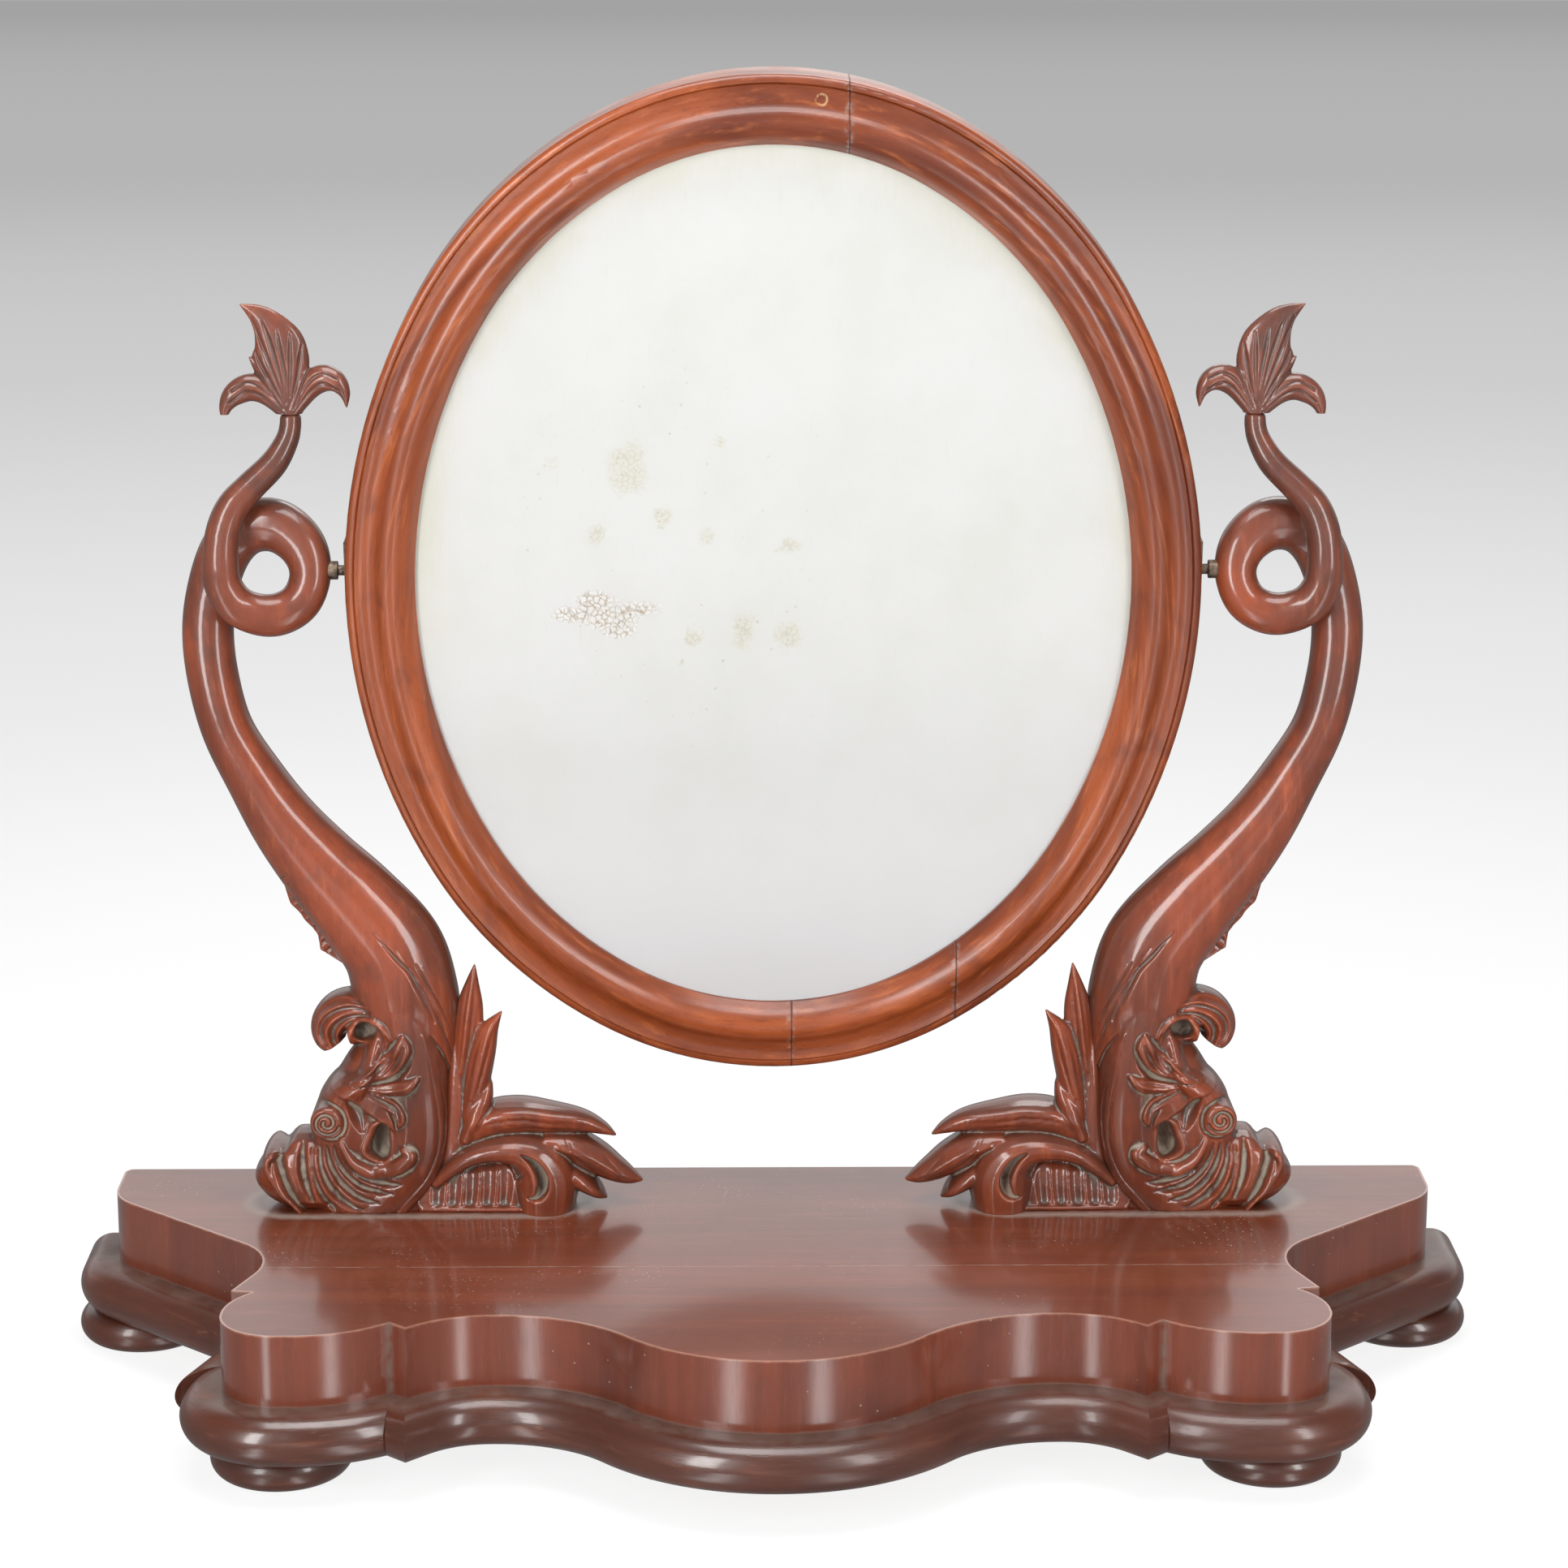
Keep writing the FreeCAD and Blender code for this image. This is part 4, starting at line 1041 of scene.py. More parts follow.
# Raised strokes of the head: a profile, then rows of out, up, half width and depth
head_raised_strokes = [
    ("flat", [(-20, 211, 4, -5), (-51, 224, 12, -10), (-82, 245, 19, -12), (-99, 267, 16, -12),
              (-100, 289, 3, -7)]),
    ("flat", [(-26, 205, 4, -5), (-63, 201, 10, -10), (-94, 205, 13, -12), (-109, 212, 10, -12),
              (-122, 222, 3, -7)]),
    ("flat", [(-37, 195, 4, -5), (-68, 184, 10, -9), (-87, 171, 11, -10), (-94, 156, 9, -10),
              (-90, 144, 3, -6)]),
    ("flat", [(10, 204, 8, -3), (-20, 196, 14, -6), (-45, 180, 17, -8), (-64, 163, 14, -8),
              (-76, 150, 8, -8), (-81, 140, 3, -6)]),
    ("round", [(0, 124, 4, -4), (-7, 102, 8, -8), (-22, 82, 11, -11), (-44, 70, 12, -12),
               (-70, 72, 12, -12), (-95, 84, 13, -13), (-107, 97, 12, -13), (-98, 107, 6, -8)]),
    ("round", [(-131, 288, 2, -1), (-144, 250, 6, -7), (-152, 208, 7, -8), (-158, 160, 7, -8),
               (-158, 116, 7, -8), (-151, 84, 7, -8), (-136, 52, 7, -8), (-113, 24, 7, -7),
               (-87, -4, 6, -4)]),
    ("round", [(-84, 134, 2, -2), (-79, 145, 5, -6), (-66, 150, 5, -6), (-51, 144, 5, -6),
               (-45, 131, 5, -5), (-37, 107, 5, -5), (-41, 96, 5, -5), (-53, 88, 5, -5),
               (-68, 86, 5, -5), (-81, 95, 2, -2)]),
    ("round", [(-77, 266, 3, -3), (-75, 286, 6, -7), (-63, 302, 6, -8), (-45, 308, 6, -8),
               (-27, 302, 6, -8), (-16, 287, 6, -7), (-15, 272, 6, -6), (-22, 263, 4, -3)]),
]

# Flutes, hollows and lines of the head, in the same way, and the sizes that some of them share
leaf_flute = ((3, 2), (6, 7), (7, 8), (4, 3))
thin_flute = ((3, 2), (5, 6), (6, 6), (3, 2))
head_cut_strokes = [
    stroke("flute", leaf_flute, (-36, 218), (-62, 236), (-77, 257), (-89, 281)),
    stroke("flute", leaf_flute, (-44, 213), (-73, 228), (-90, 248), (-100, 272)),
    stroke("flute", leaf_flute, (-50, 208), (-83, 219), (-102, 238), (-111, 261)),
    stroke("flute", thin_flute, (-40, 205), (-70, 206), (-96, 212), (-115, 222)),
    stroke("flute", thin_flute, (-46, 199), (-74, 195), (-98, 199), (-113, 208)),
    ("flute", [(-48, 193, 3, 2), (-70, 183, 6, 6), (-87, 170, 7, 7), (-92, 153, 4, 3)]),
    ("flute", [(-12, 188, 4, 3), (-22, 172, 11, 11), (-29, 155, 11, 11), (-33, 138, 5, 4)]),
    ("flute", [(-74, 285, 4, 3), (-80, 268, 6, 7), (-79, 250, 7, 9), (-68, 233, 6, 7),
               (-50, 220, 4, 3)]),
    ("flute", [(0, 110, 2, 2), (-8, 88, 5, 6), (-26, 65.5, 6, 7), (-50, 52, 6, 7), (-75, 49, 6, 6),
               (-92, 50, 3, 2)]),
    ("flute", [(10.5, 112, 3, 3), (6, 88, 7, 7), (-8.5, 64.5, 7.5, 9), (-30, 45.8, 7.5, 9),
               (-54, 36.5, 6, 7), (-78, 34, 3, 2)]),
    ("flute", [(22.5, 109, 3, 3), (18, 82, 7.5, 8), (5, 56, 8.5, 10), (-14.5, 34.6, 8.5, 10),
               (-35, 22.2, 6, 7), (-56, 18, 3, 2)]),
    ("flute", [(34, 105, 3, 3), (31.5, 78, 7.5, 8), (22, 51, 9, 10), (6, 27, 9, 10), (-12, 13.5, 7, 7),
               (-30, 6, 3, 2)]),
    ("flute", [(45.5, 102, 3, 3), (44.5, 74, 6, 7), (38, 46, 7, 8), (26, 20, 7, 8), (12, 4, 4, 4)]),
    ("flute", [(99, 106, 5, 4), (97, 93, 10, 11), (93, 70, 11, 13), (84, 44, 10, 12), (71, 18, 6, 5)]),
    ("flute", [(60, 109, 5, 4), (60, 84, 10, 12), (56, 54, 10, 12), (47, 22, 6, 5)]),
    ("flute", [(-40, 331, 2, 2), (-6, 336, 5, 5), (20, 325, 6, 6), (36, 306, 6, 6), (40.5, 285, 5, 5),
               (34, 262, 3, 3)]),
    ("flute", [(-48, 320, 3, 3), (-20, 325, 6, 8), (6, 318, 7, 10), (24, 302, 8, 11), (28, 283, 8, 10),
               (20, 262, 5, 5)]),
    ("flute", [(-46, 313, 3, 3), (-22, 314, 5, 7), (-1, 304, 7, 10), (11, 288, 8, 11), (12, 271, 7, 10),
               (4, 256, 4, 4)]),
    ("flat", [(-46, 291, 14, 22), (-38, 289, 16, 26), (-34, 284, 13, 22)]),
    ("flat", [(-65.6, 138, 11, 24), (-63.2, 124, 14, 30), (-60.7, 106.6, 17, 32), (-63.2, 97, 12, 22)]),
    ("line", [(-141, 284, 3, 2), (-157, 253, 6, 7), (-167, 212, 7, 9), (-172, 166, 7, 9),
              (-171, 124, 7, 9), (-164, 86, 7, 8), (-150, 52, 6, 7), (-130, 26, 5, 4)]),
    ("line", [(-58, 449, 2, 2), (-75, 430, 4, 4), (-92, 410, 5, 6), (-111, 389, 5, 6),
              (-123, 366, 5, 6), (-136, 337, 5, 6), (-148, 307, 3, 3)]),
    ("line", [(-94, 425, 2, 2), (-122, 376, 4, 4), (-148, 323, 4, 5), (-165, 272, 4, 4),
              (-174, 236, 3, 2)]),
    ("line", [(-122, 399, 2, 2), (-140, 364, 3, 4), (-158, 326, 3, 4), (-170, 290, 2, 2)]),
    ("line", [(-106, 412, 2, 1), (-130, 370, 2.5, 3), (-152, 326, 2.5, 3), (-166, 286, 2, 1)]),
]


def add_fin_plate(shape):
    """The dorsal fin: a thin toothed plate down the outer side."""
    plate = bmesh.new()
    front = fin_forward_share + fin_thickness_share / 2
    corners = [plate.verts.new(upright_place(out, up, front)) for out, up in fin_plate_shares]
    face = plate.faces.new(corners)
    grown = bmesh.ops.extrude_face_region(plate, geom=[face])["geom"]
    moved = of_kind(grown, bmesh.types.BMVert)
    bmesh.ops.translate(plate, verts=moved, vec=(0, fin_thickness_share * thousandth, 0))
    bmesh.ops.recalc_face_normals(plate, faces=plate.faces)
    copy_into(shape, plate)


# Cuts across the dorsal fin: how many, the first one's middle, the run to the last, and their two ends
fin_cut_count = 11
fin_cut_start = (18, 402)
fin_cut_run = (70, 120)
fin_cut_outer = (22, -14)
fin_cut_inner = (-10, 12)
fin_cut_size = (2.2, 3.5)


def fin_hatching():
    """Fine cuts across the dorsal fin."""
    cuts = []
    for step in range(fin_cut_count):
        along = step / (fin_cut_count - 1)
        out = fin_cut_start[0] + fin_cut_run[0] * along
        up = fin_cut_start[1] + fin_cut_run[1] * along
        ends = [(out + end[0], up + end[1]) for end in (fin_cut_outer, fin_cut_inner)]
        cuts.append(stroke("line", (fin_cut_size, fin_cut_size), *ends))
    return cuts


def add_round(shape, out, up, reach, half_depth):
    """Adds a round with eased rims that runs from front to back."""
    places = []
    for share, size in round_rims:
        turn = Matrix.Rotation(math.pi / 2, 4, "X") @ Matrix.Scale(size * reach * thousandth, 4)
        places.append(Matrix.Translation(upright_place(out, up, share * half_depth)) @ turn)
    add_drawn(shape, places, round_sides)


def winding(reach_from, reach_to, turns, start_degrees, half_width, depth):
    """Rows of a groove that winds about the middle of the eye, its reach in shares of the eye's."""
    middle_out, middle_up, reach, _ = eye_shares
    rows = []
    count = max(int(turns * winding_rows_per_turn), fewest_winding_rows)
    for step in range(count + 1):
        share = step / count
        angle = math.radians(start_degrees) + share * turns * 2 * math.pi
        away = reach * (reach_from + (reach_to - reach_from) * share)
        out = middle_out + away * math.cos(angle)
        up = middle_up + away * math.sin(angle)
        rows.append((out, up, half_width, depth))
    return rows


# The head keeps its corners; above the neck the body is eased more
neck_low, neck_high = 400, 460
dolphin_voxel = 0.0008


def dolphin_mesh():
    """The right-hand dolphin, from its mouth on the platform to the end of its tail."""
    shape = bmesh.new()
    add_limb(shape, body_shares, sides=28, steps=8)
    add_limb(shape, snout_shares, square=2.5)
    add_limb(shape, gill_cover_shares, square=3.0)
    add_limb(shape, lip_shares, square=2.2)
    for rows in (face_shares, stem_shares, crest_shares, crest_web_shares):
        add_limb(shape, rows)
    add_fin_plate(shape)
    add_round(shape, *eye_shares)
    mesh = fused("dolphin", shape, dolphin_voxel)
    skin = Skin(mesh)
    plain = step_up(skin.shares()[1], neck_low, neck_high)[:, None]
    light = skin.eased(skin.points, rounds=5, share=0.5)
    heavy = skin.eased(light, rounds=16, share=0.5)
    skin.points = light + (heavy - light) * plain
    rim = winding(1.16, 1.16, turns=1.0, start_degrees=0, half_width=4.5, depth=6)
    scroll = winding(0.80, 0.18, turns=eye_turns, start_degrees=200, half_width=5.2, depth=7.5)
    eye_cuts = [("flute", rim), ("line", scroll)]
    skin.relief(head_raised_strokes)
    skin.relief(head_cut_strokes + fin_hatching() + eye_cuts)
    skin.ease(rounds=1, share=0.3)
    skin.store()
    return finished_carving(mesh, platform_top, hollow_rounds=16, hollow_depth=0.0012, deep_rounds=70)


# Fin bracket: rows of out, up, forward, half width and half thickness
bracket_leaf_shares = [
    [(-180, 150, 0, 22, 36), (-185, 220, 6, 21, 30), (-194, 280, 10, 24, 24), (-199, 320, 12, 21, 18),
     (-203, 354, 14, 12, 12), (-208, 389, 16, 1, 4)],
    [(-196, 140, 12, 18, 38), (-208, 200, 18, 21, 31), (-219, 250, 22, 20, 24), (-229, 285, 25, 15, 16),
     (-250, 317, 28, 1, 4)],
    [(-190, 110, 14, 14, 44), (-206, 150, 20, 17, 37), (-219, 175, 24, 15, 27), (-230, 203, 26, 4, 8)],
    [(-184, 104, 4, 26, 46), (-224, 134, 6, 28, 49), (-270, 143, 10, 28, 47), (-322, 141, 14, 23, 41),
     (-370, 136, 18, 17, 31), (-403, 125, 21, 10, 18), (-425, 113, 24, 1, 4)],
    [(-310, 110, 10, 16, 50), (-350, 100, 14, 24, 47), (-388, 80, 18, 26, 41), (-420, 60, 21, 21, 31),
     (-446, 47, 23, 13, 18), (-465, 41, 25, 2, 5)],
    [(-345, 62, 12, 20, 49), (-372, 42, 18, 18, 43), (-395, 23, 21, 11, 29), (-409, 12, 24, 2, 6)],
]
bracket_arch_shares = [
    (-140, 40, 4, 12, 50),
    (-172, 70, 10, 16, 58),
    (-200, 89, 12, 19, 63),
    (-236, 98, 12, 22, 67),
    (-272, 97, 12, 29, 70),
    (-302, 80, 12, 42, 72),
    (-314, 53, 12, 51, 73),
    (-315, 22, 12, 49, 72),
    (-313, -15, 12, 42, 68),
]
bracket_core_shares = [
    (-120, -10, 0, 70, 56),
    (-200, 10, 0, 72, 56),
    (-290, 20, 0, 70, 56),
]
bracket_root_shares = [
    (-165, 10, 0, 40, 50),
    (-172, 90, 0, 34, 50),
    (-176, 180, 2, 24, 40),
    (-178, 260, 4, 14, 26),
]
bracket_foot_shares = [
    (-120, 4, 0, 10, 60),
    (-200, 4, 0, 10, 64),
    (-290, 4, 0, 10, 64),
]

# Flutes of the panel under the arch: how far out each lies and how high it reaches
bracket_flute_out_shares = (-148, -173, -199, -226, -252)
bracket_flute_top_shares = (40, 55, 67, 71, 58)
bracket_flute_sizes = ((12.5, 5), (13, 6), (12, 5.5))

# Below its top each flute leans: how much further out it lies, and how high
bracket_flute_lean = ((1, 38), (3, 18))

# Strokes of the bracket, and the sizes that some of its lines share
bracket_ridge_strokes = [
    ("line", [(-200, 136, 12, -2), (-236, 155, 16, -5), (-281, 161, 16, -6), (-326, 154, 14, -5),
              (-377, 146, 10, -3), (-410, 128, 6, -1)]),
    ("line", [(-184, 220, 6, -3), (-192, 280, 10, -6), (-199, 330, 8, -5), (-206, 372, 4, -2)]),
    ("line", [(-200, 180, 6, -3), (-215, 240, 10, -6), (-229, 285, 7, -5), (-243, 308, 3, -2)]),
    ("line", [(-335, 104, 8, -3), (-375, 90, 12, -5), (-415, 66, 10, -4), (-450, 46, 4, -2)]),
]
bracket_crescent_strokes = [
    ("flat", [(-280, 98, 2, 4), (-295, 88, 6, 16), (-307, 71, 9, 22), (-312, 54, 10, 24),
              (-309, 39, 9, 20), (-300, 29, 5, 12), (-288, 28, 2, 3)]),
]
crossing_line = ((2.5, 2), (3, 3), (2.5, 2))
short_vein = ((2, 1), (3, 3), (2, 1))
long_vein = ((2, 1), (3, 3), (3, 3), (2, 1))
bracket_line_strokes = [
    ("line", [(-184, 72, 3, 3), (-208, 78, 4, 5), (-238, 80, 4, 5), (-258, 72, 4, 5), (-270, 52, 4, 5),
              (-276, 20, 3, 3)]),
    stroke("line", crossing_line, (-345, 118), (-367, 83), (-393, 62)),
    stroke("line", crossing_line, (-405, 90), (-424, 66), (-443, 46)),
    ("line", [(-345, 106, 2.5, 1), (-385, 84, 3, 3), (-425, 58, 2.5, 1)]),
    ("line", [(-224, 140, 2.5, 2), (-268, 148, 3, 3), (-316, 142, 3, 3), (-360, 137, 2, 1)]),
    ("line", [(-246, 128, 2.5, 1), (-286, 134, 3, 3), (-334, 130, 3, 3), (-375, 129, 2, 1)]),
    ("line", [(-250, 172, 2, 1), (-290, 172, 3, 2), (-340, 161, 2, 1)]),
    stroke("line", long_vein, (-181, 200), (-186, 262), (-193, 320), (-203, 372)),
    stroke("line", long_vein, (-190, 215), (-199, 272), (-205, 322), (-207, 368)),
    stroke("line", short_vein, (-194, 236), (-207, 282), (-212, 318)),
    stroke("line", short_vein, (-178, 240), (-180, 290), (-187, 340)),
    stroke("line", long_vein, (-199, 175), (-211, 228), (-223, 275), (-243, 310)),
    stroke("line", short_vein, (-207, 180), (-221, 230), (-234, 280)),
    stroke("line", short_vein, (-197, 195), (-204, 236), (-214, 272)),
]
bracket_voxel = 0.0007

# Fine cuts that fan from the rib of the long leaf: how many, their roots and their sizes
fan_cut_count = 7
fan_start = (-235, 148)
fan_run = (-135, -10)
fan_rise = 8
fan_cut_run = (-30, -12)
fan_cut_sizes = ((2.6, 1.8), (2.2, 0.8))


def bracket_hatching():
    """Short fine cuts that fan from the rib of the long leaf."""
    cuts = []
    for step in range(fan_cut_count):
        along = step / (fan_cut_count - 1)
        out = fan_start[0] + fan_run[0] * along
        up = fan_start[1] + fan_rise * math.sin(math.pi * along) + fan_run[1] * along
        tip = (out + fan_cut_run[0], up + fan_cut_run[1])
        cuts.append(stroke("line", fan_cut_sizes, (out, up), tip))
    return cuts


def bracket_flutes():
    """Short flutes side by side in the panel under the arch."""
    cuts = []
    for out, top in zip(bracket_flute_out_shares, bracket_flute_top_shares):
        below = [(out + aside, up) for aside, up in bracket_flute_lean]
        cuts.append(stroke("flute", bracket_flute_sizes, (out, top), *below))
    return cuts


def bracket_mesh():
    """The right-hand fin bracket: upright and trailing leaves over a fluted arch."""
    shape = bmesh.new()
    add_limb(shape, bracket_core_shares, square=3.0)
    for rows in [bracket_root_shares, bracket_foot_shares] + bracket_leaf_shares:
        add_limb(shape, rows)
    core = fused("fin_bracket_core", shape, bracket_voxel)
    skin = Skin(core)
    skin.ease(rounds=2, share=0.5)
    skin.relief(bracket_flutes() + bracket_ridge_strokes)
    skin.relief(bracket_line_strokes + bracket_hatching())
    skin.store()
    shape = bmesh.new()
    shape.from_mesh(core)
    bpy.data.meshes.remove(core)
    add_limb(shape, bracket_arch_shares, square=2.5)
    mesh = fused("fin_bracket", shape, bracket_voxel)
    skin = Skin(mesh)
    skin.ease(rounds=2, share=0.4)
    skin.relief(bracket_crescent_strokes)
    skin.ease(rounds=1, share=0.3)
    skin.store()
    return finished_carving(mesh, platform_top, hollow_rounds=20, hollow_depth=0.0012, deep_rounds=90)


# Tail fluke: rows of out, up, forward, half width and half thickness
fluke_leaf_shares = [
    [(53.5, 1226, 3, 16.5, 17), (56, 1260, 4, 26, 18), (61, 1290, 5, 37, 18), (64.5, 1315, 6, 43, 17),
     (67, 1343, 8, 39, 15), (80, 1369, 10, 27, 12), (97, 1387, 12, 16, 8), (122.5, 1402, 14, 1, 3)],
    [(54, 1236, 3, 12, 16), (84, 1268, 6, 19, 18), (110, 1278, 10, 21, 18), (134, 1268, 14, 18, 16),
     (148, 1248, 16, 10, 10), (151, 1222, 18, 1, 3)],
    [(52, 1238, 3, 12, 16), (26, 1276, 6, 19, 18), (4, 1291, 10, 21, 18), (-17, 1287, 14, 17, 16),
     (-30, 1270, 16, 9, 10), (-33, 1248, 18, 1, 3)],
    [(56, 1330, 6, 14, 12), (48, 1354, 8, 10, 9), (46, 1370, 10, 1, 3)],
    [(84, 1282, 5, 10, 12), (100, 1308, 7, 7, 8), (112, 1324, 9, 1, 3)],
]

# Lines and grooves of the fluke, and the sizes that they share
blade_line = ((2, 2), (4, 3), (5, 3), (2, 2))
curl_line = ((2, 2), (4, 3), (4, 3), (3, 4))
root_groove = ((3, 2.6), (3, 4.5), (2, 4))
fluke_cut_strokes = [
    stroke("line", blade_line, (56, 1246), (73, 1295), (92, 1345), (106, 1384)),
    stroke("line", blade_line, (55, 1246), (66, 1298), (78, 1344), (88, 1376)),
    stroke("line", blade_line, (54, 1246), (58, 1296), (64, 1336), (68, 1366)),
    stroke("line", blade_line, (53, 1246), (50, 1292), (49, 1328), (48, 1360)),
    stroke("line", blade_line, (52, 1246), (42, 1284), (36, 1316), (32, 1342)),
    ("line", [(57, 1246, 2, 2), (80, 1288, 4, 3), (96, 1318, 4, 2.6), (104, 1340, 2, 2)]),
    stroke("line", curl_line, (62, 1246), (90, 1276), (114, 1286), (138, 1274)),
    stroke("line", curl_line, (62, 1240), (92, 1266), (116, 1273), (140, 1256)),
    stroke("line", curl_line, (46, 1246), (24, 1284), (2, 1299), (-20, 1292)),
    stroke("line", curl_line, (46, 1240), (20, 1273), (0, 1285), (-22, 1275)),
    stroke("line", root_groove, (66, 1250), (88, 1286), (102, 1300)),
    stroke("line", root_groove, (44, 1250), (30, 1290), (18, 1312)),
]
tail_joint_up = 1238
fluke_voxel = 0.0006


def fluke_mesh():
    """The right-hand tail fluke, three fluted leaves that turn forward at their tips."""
    shape = bmesh.new()
    for rows in fluke_leaf_shares:
        add_limb(shape, rows)
    mesh = fused("tail_fluke", shape, fluke_voxel)
    skin = Skin(mesh)
    skin.ease(rounds=3, share=0.5)
    skin.relief(fluke_cut_strokes)
    skin.store()
    foot = upright_place(0, tail_joint_up, 0).z
    return finished_carving(mesh, foot, hollow_rounds=18, hollow_depth=0.0010, deep_rounds=90)


def mirrored(mesh, name):
    """The left-hand copy of a right-hand mesh."""
    copy = mesh.copy()
    copy.name = name
    copy.transform(Matrix.Scale(-1, 4, (1, 0, 0)))
    copy.flip_normals()
    return copy


def add_carving(kind, right_mesh, material):
    """Puts a carved piece on both uprights in place of its two plain solids."""
    right_mesh.materials.clear()
    right_mesh.materials.append(material)
    right_mesh.polygons.foreach_set("use_smooth", [True] * len(right_mesh.polygons))
    right_mesh.update()
    pieces = {"right": right_mesh, "left": mirrored(right_mesh, "left_" + kind)}
    for side, mesh in pieces.items():
        piece = bpy.data.objects.new("carved_" + side + "_" + kind, mesh)
        bpy.context.scene.collection.objects.link(piece)
        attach(piece, "stand")
        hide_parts(side + "_" + kind)


def dress_solids():
    """Gives every solid that stays its own finish, by its name or by the last word of it."""
    by_name = {
        "platform_rear_board": platform_finish("rear_board_mahogany", (0.07, 1.0, 1.0)),
        "platform_front_board": platform_finish("front_board_mahogany", (0.06, 1.0, 1.0)),
        "mirror_glass": silvered_glass_finish("silvered_glass"),
    }
    for segment in ("left", "right", "lower"):
        by_name[segment + "_frame_segment"] = frame_finish(segment + "_frame_mahogany")
    moulding = moulding_finish("moulding_mahogany")
    iron = metal_finish("worn_iron", tone(74, 62, 52), tone(128, 112, 98), 0.42)
    pine = plain_wood_finish("old_pine", (0.08, 1.0, 1.0), pine_tones)
    by_last_word = {
        "veneer": veneer_finish("fascia_mahogany"),
        "moulding": moulding,
        "foot": moulding,
        "pin": iron,
        "collar": iron,
        "plate": iron,
        "screws": metal_finish("old_steel", tone(96, 92, 88), tone(150, 146, 140), 0.36),
        "dowels": plain_wood_finish("beech", (1.0, 1.0, 0.1), beech_tones),
    }
    for name, solid in frame["nodes"].items():
        material = by_name.get(name) or by_last_word.get(name.split("_")[-1], pine)
        solid.data.materials.clear()
        solid.data.materials.append(material)


# Floor: it darkens with distance, from near to far and by how much, and glows to the camera
floor_reach = 60.0
floor_sides = 96
floor_greys = ((0.7, 2.2, 0.14), (1.8, 5.5, 0.18), (4.5, 12.0, 0.16), (10.0, 50.0, 0.11))
floor_glow = 0.85


def lay_floor():
    """Large pale floor, white about the object and greyer far away, which keeps the shadow."""
    shape = bmesh.new()
    bmesh.ops.create_circle(shape, cap_ends=True, segments=floor_sides, radius=floor_reach)
    mesh = bpy.data.meshes.new("floor")
    shape.to_mesh(mesh)
    shape.free()
    floor = bpy.data.objects.new("floor", mesh)
    bpy.context.scene.collection.objects.link(floor)
    material, nodes = finish("floor_paper")
    mesh.materials.append(material)
    x, y, _ = nodes.parts(nodes.place())
    away = nodes.length(x, y)
    darker = 0.0
    for near, far, share in floor_greys:
        darker = darker + nodes.between(away, near, far) * share
    shade = nodes.grey(1.0 - darker)
    paper = nodes.node("BsdfDiffuse", {}, {"Color": shade})
    glow = nodes.node("Emission", {}, {"Color": shade, "Strength": 1.0})
    clear = nodes.node("BsdfTransparent", {}, {})
    camera, glossy = nodes.flags("Is Camera Ray", "Is Glossy Ray")
    shown = nodes.node("MixShader", {}, {0: camera * floor_glow, 1: paper, 2: glow})
    shown = nodes.node("MixShader", {}, {0: glossy, 1: shown, 2: clear})
    nodes.node("OutputMaterial", {}, {"Surface": shown})


# Levels of the room: its even fill, the backdrop, and what gloss sees
fill_level = 0.28
backdrop_grey = 0.41
room_level = 0.26
wall_ahead = 0.74
wall_behind = 0.80
light_pools = 4.6
ceiling_loss = 0.12


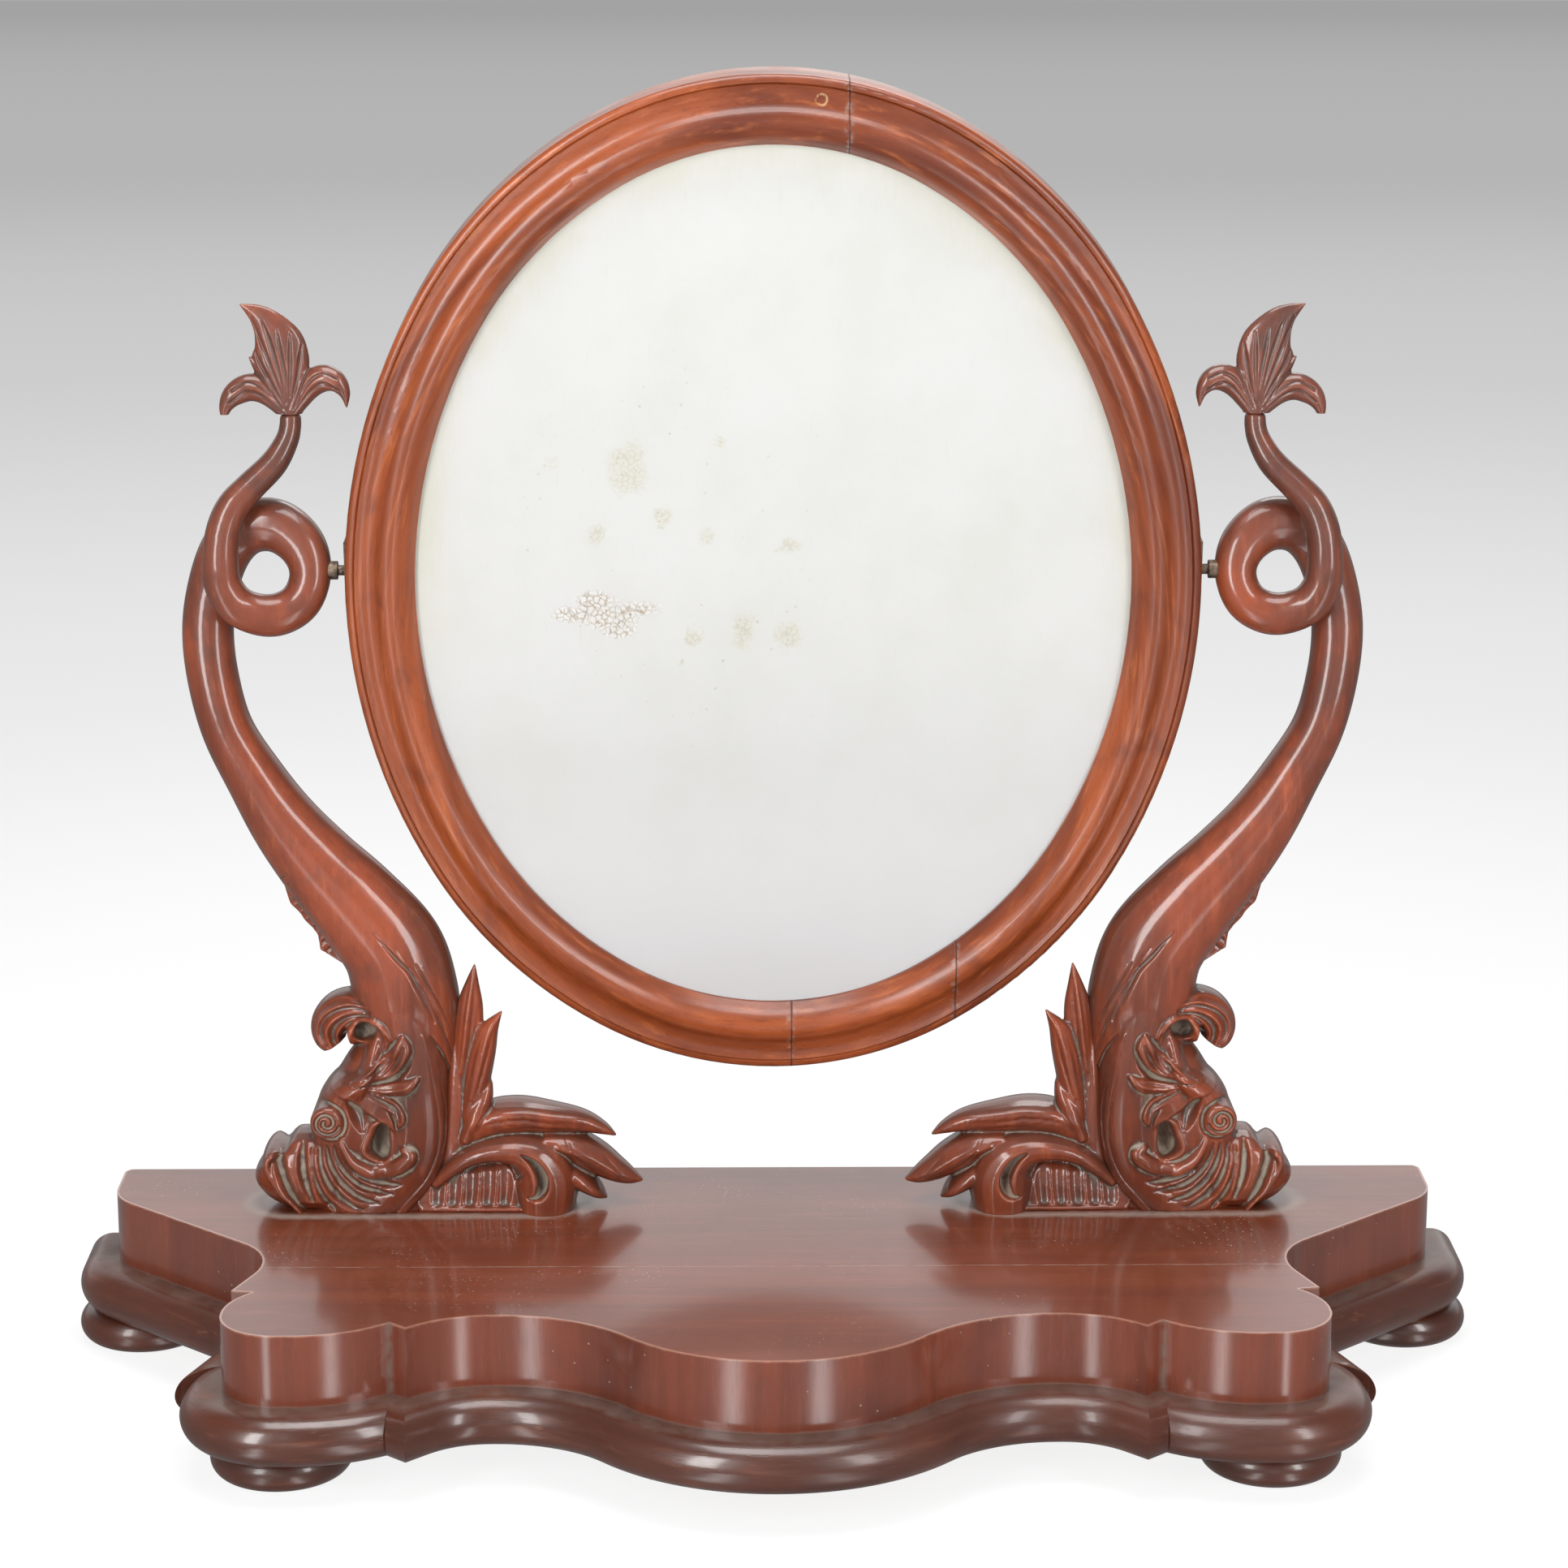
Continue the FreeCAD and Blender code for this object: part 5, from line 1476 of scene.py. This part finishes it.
def light_world():
    """Even studio fill; gloss sees pale walls ahead and behind, two pools of light and a darker room."""
    world = bpy.data.worlds.new("studio")
    bpy.context.scene.world = world
    world.use_nodes = True
    nodes = Nodes(world.node_tree)
    x, y, z = nodes.parts(nodes.node("TexCoord", {}, {}, output=0))
    camera, glossy, through = nodes.flags("Is Camera Ray", "Is Glossy Ray", "Is Transmission Ray")
    ahead = nodes.near(x, 0.0, 0.3) * nodes.between(y, -0.75, -0.88)
    ahead = ahead * nodes.between(z, -0.37, -0.05) * nodes.between(z, 0.2, 0.05)
    behind = nodes.between(y, 0.4, 0.8) * nodes.between(z, 0.02, 0.2)
    pools = nodes.near(abs(x), 0.40, 0.15) * nodes.between(z, -0.24, -0.36) * nodes.between(y, -0.2, -0.5)
    ceiling = nodes.between(z, 0.3, 0.75)
    wall = room_level + ahead * wall_ahead + behind * wall_behind + pools * light_pools
    wall = wall - ceiling * ceiling_loss
    wall = wall * (1.0 - camera) + camera * backdrop_grey
    seen = nodes.either(camera, nodes.either(glossy, through))
    level = nodes.mix(seen, (fill_level, fill_level, fill_level, 1.0), nodes.grey(wall))
    backdrop = nodes.node("Background", {}, {"Color": level, "Strength": 1.0})
    nodes.node("OutputWorld", {}, {"Surface": backdrop})


# Softboxes: place, width and height in metres, and power in watts
softboxes = {
    "left_softbox": ((-1.35, -2.0, 1.05), (0.6, 1.9), 52),
    "right_softbox": ((1.55, -1.8, 1.05), (0.5, 1.9), 36),
    "top_softbox": ((0.0, -0.3, 2.4), (1.6, 1.2), 46),
    "back_softbox": ((0.5, 2.0, 2.3), (1.2, 0.8), 14),
}
softbox_target = (0.0, 0.0, 0.3)


def hang_softboxes():
    """Soft lamps about the object, all turned to its middle."""
    for name, (place, size, power) in softboxes.items():
        lamp = bpy.data.lights.new(name, "AREA")
        lamp.shape = "RECTANGLE"
        lamp.size, lamp.size_y = size
        lamp.energy = power
        box = bpy.data.objects.new(name, lamp)
        box.location = place
        aim = Vector(softbox_target) - Vector(place)
        box.rotation_euler = aim.to_track_quat("-Z", "Y").to_euler()
        bpy.context.scene.collection.objects.link(box)


def set_camera():
    """Camera at the photograph's place and angle."""
    lens = bpy.data.cameras.new("camera")
    lens.sensor_width = sensor_width
    lens.lens = sensor_width * focal_pixels / image_side
    lens.clip_end = 2 * floor_reach
    camera = bpy.data.objects.new("camera", lens)
    camera.location = camera_place
    camera.rotation_euler = (math.pi / 2 - camera_pitch, 0, -camera_yaw)
    bpy.context.scene.collection.objects.link(camera)
    bpy.context.scene.camera = camera


set_camera()
bpy.context.scene.view_settings.view_transform = "Standard"
light_world()
hang_softboxes()
lay_floor()
dress_solids()
carved_wood = carved_finish("carved_mahogany")
add_carving("dolphin", dolphin_mesh(), carved_wood)
add_carving("fin_bracket", bracket_mesh(), carved_wood)
add_carving("tail_fluke", fluke_mesh(), carved_wood)
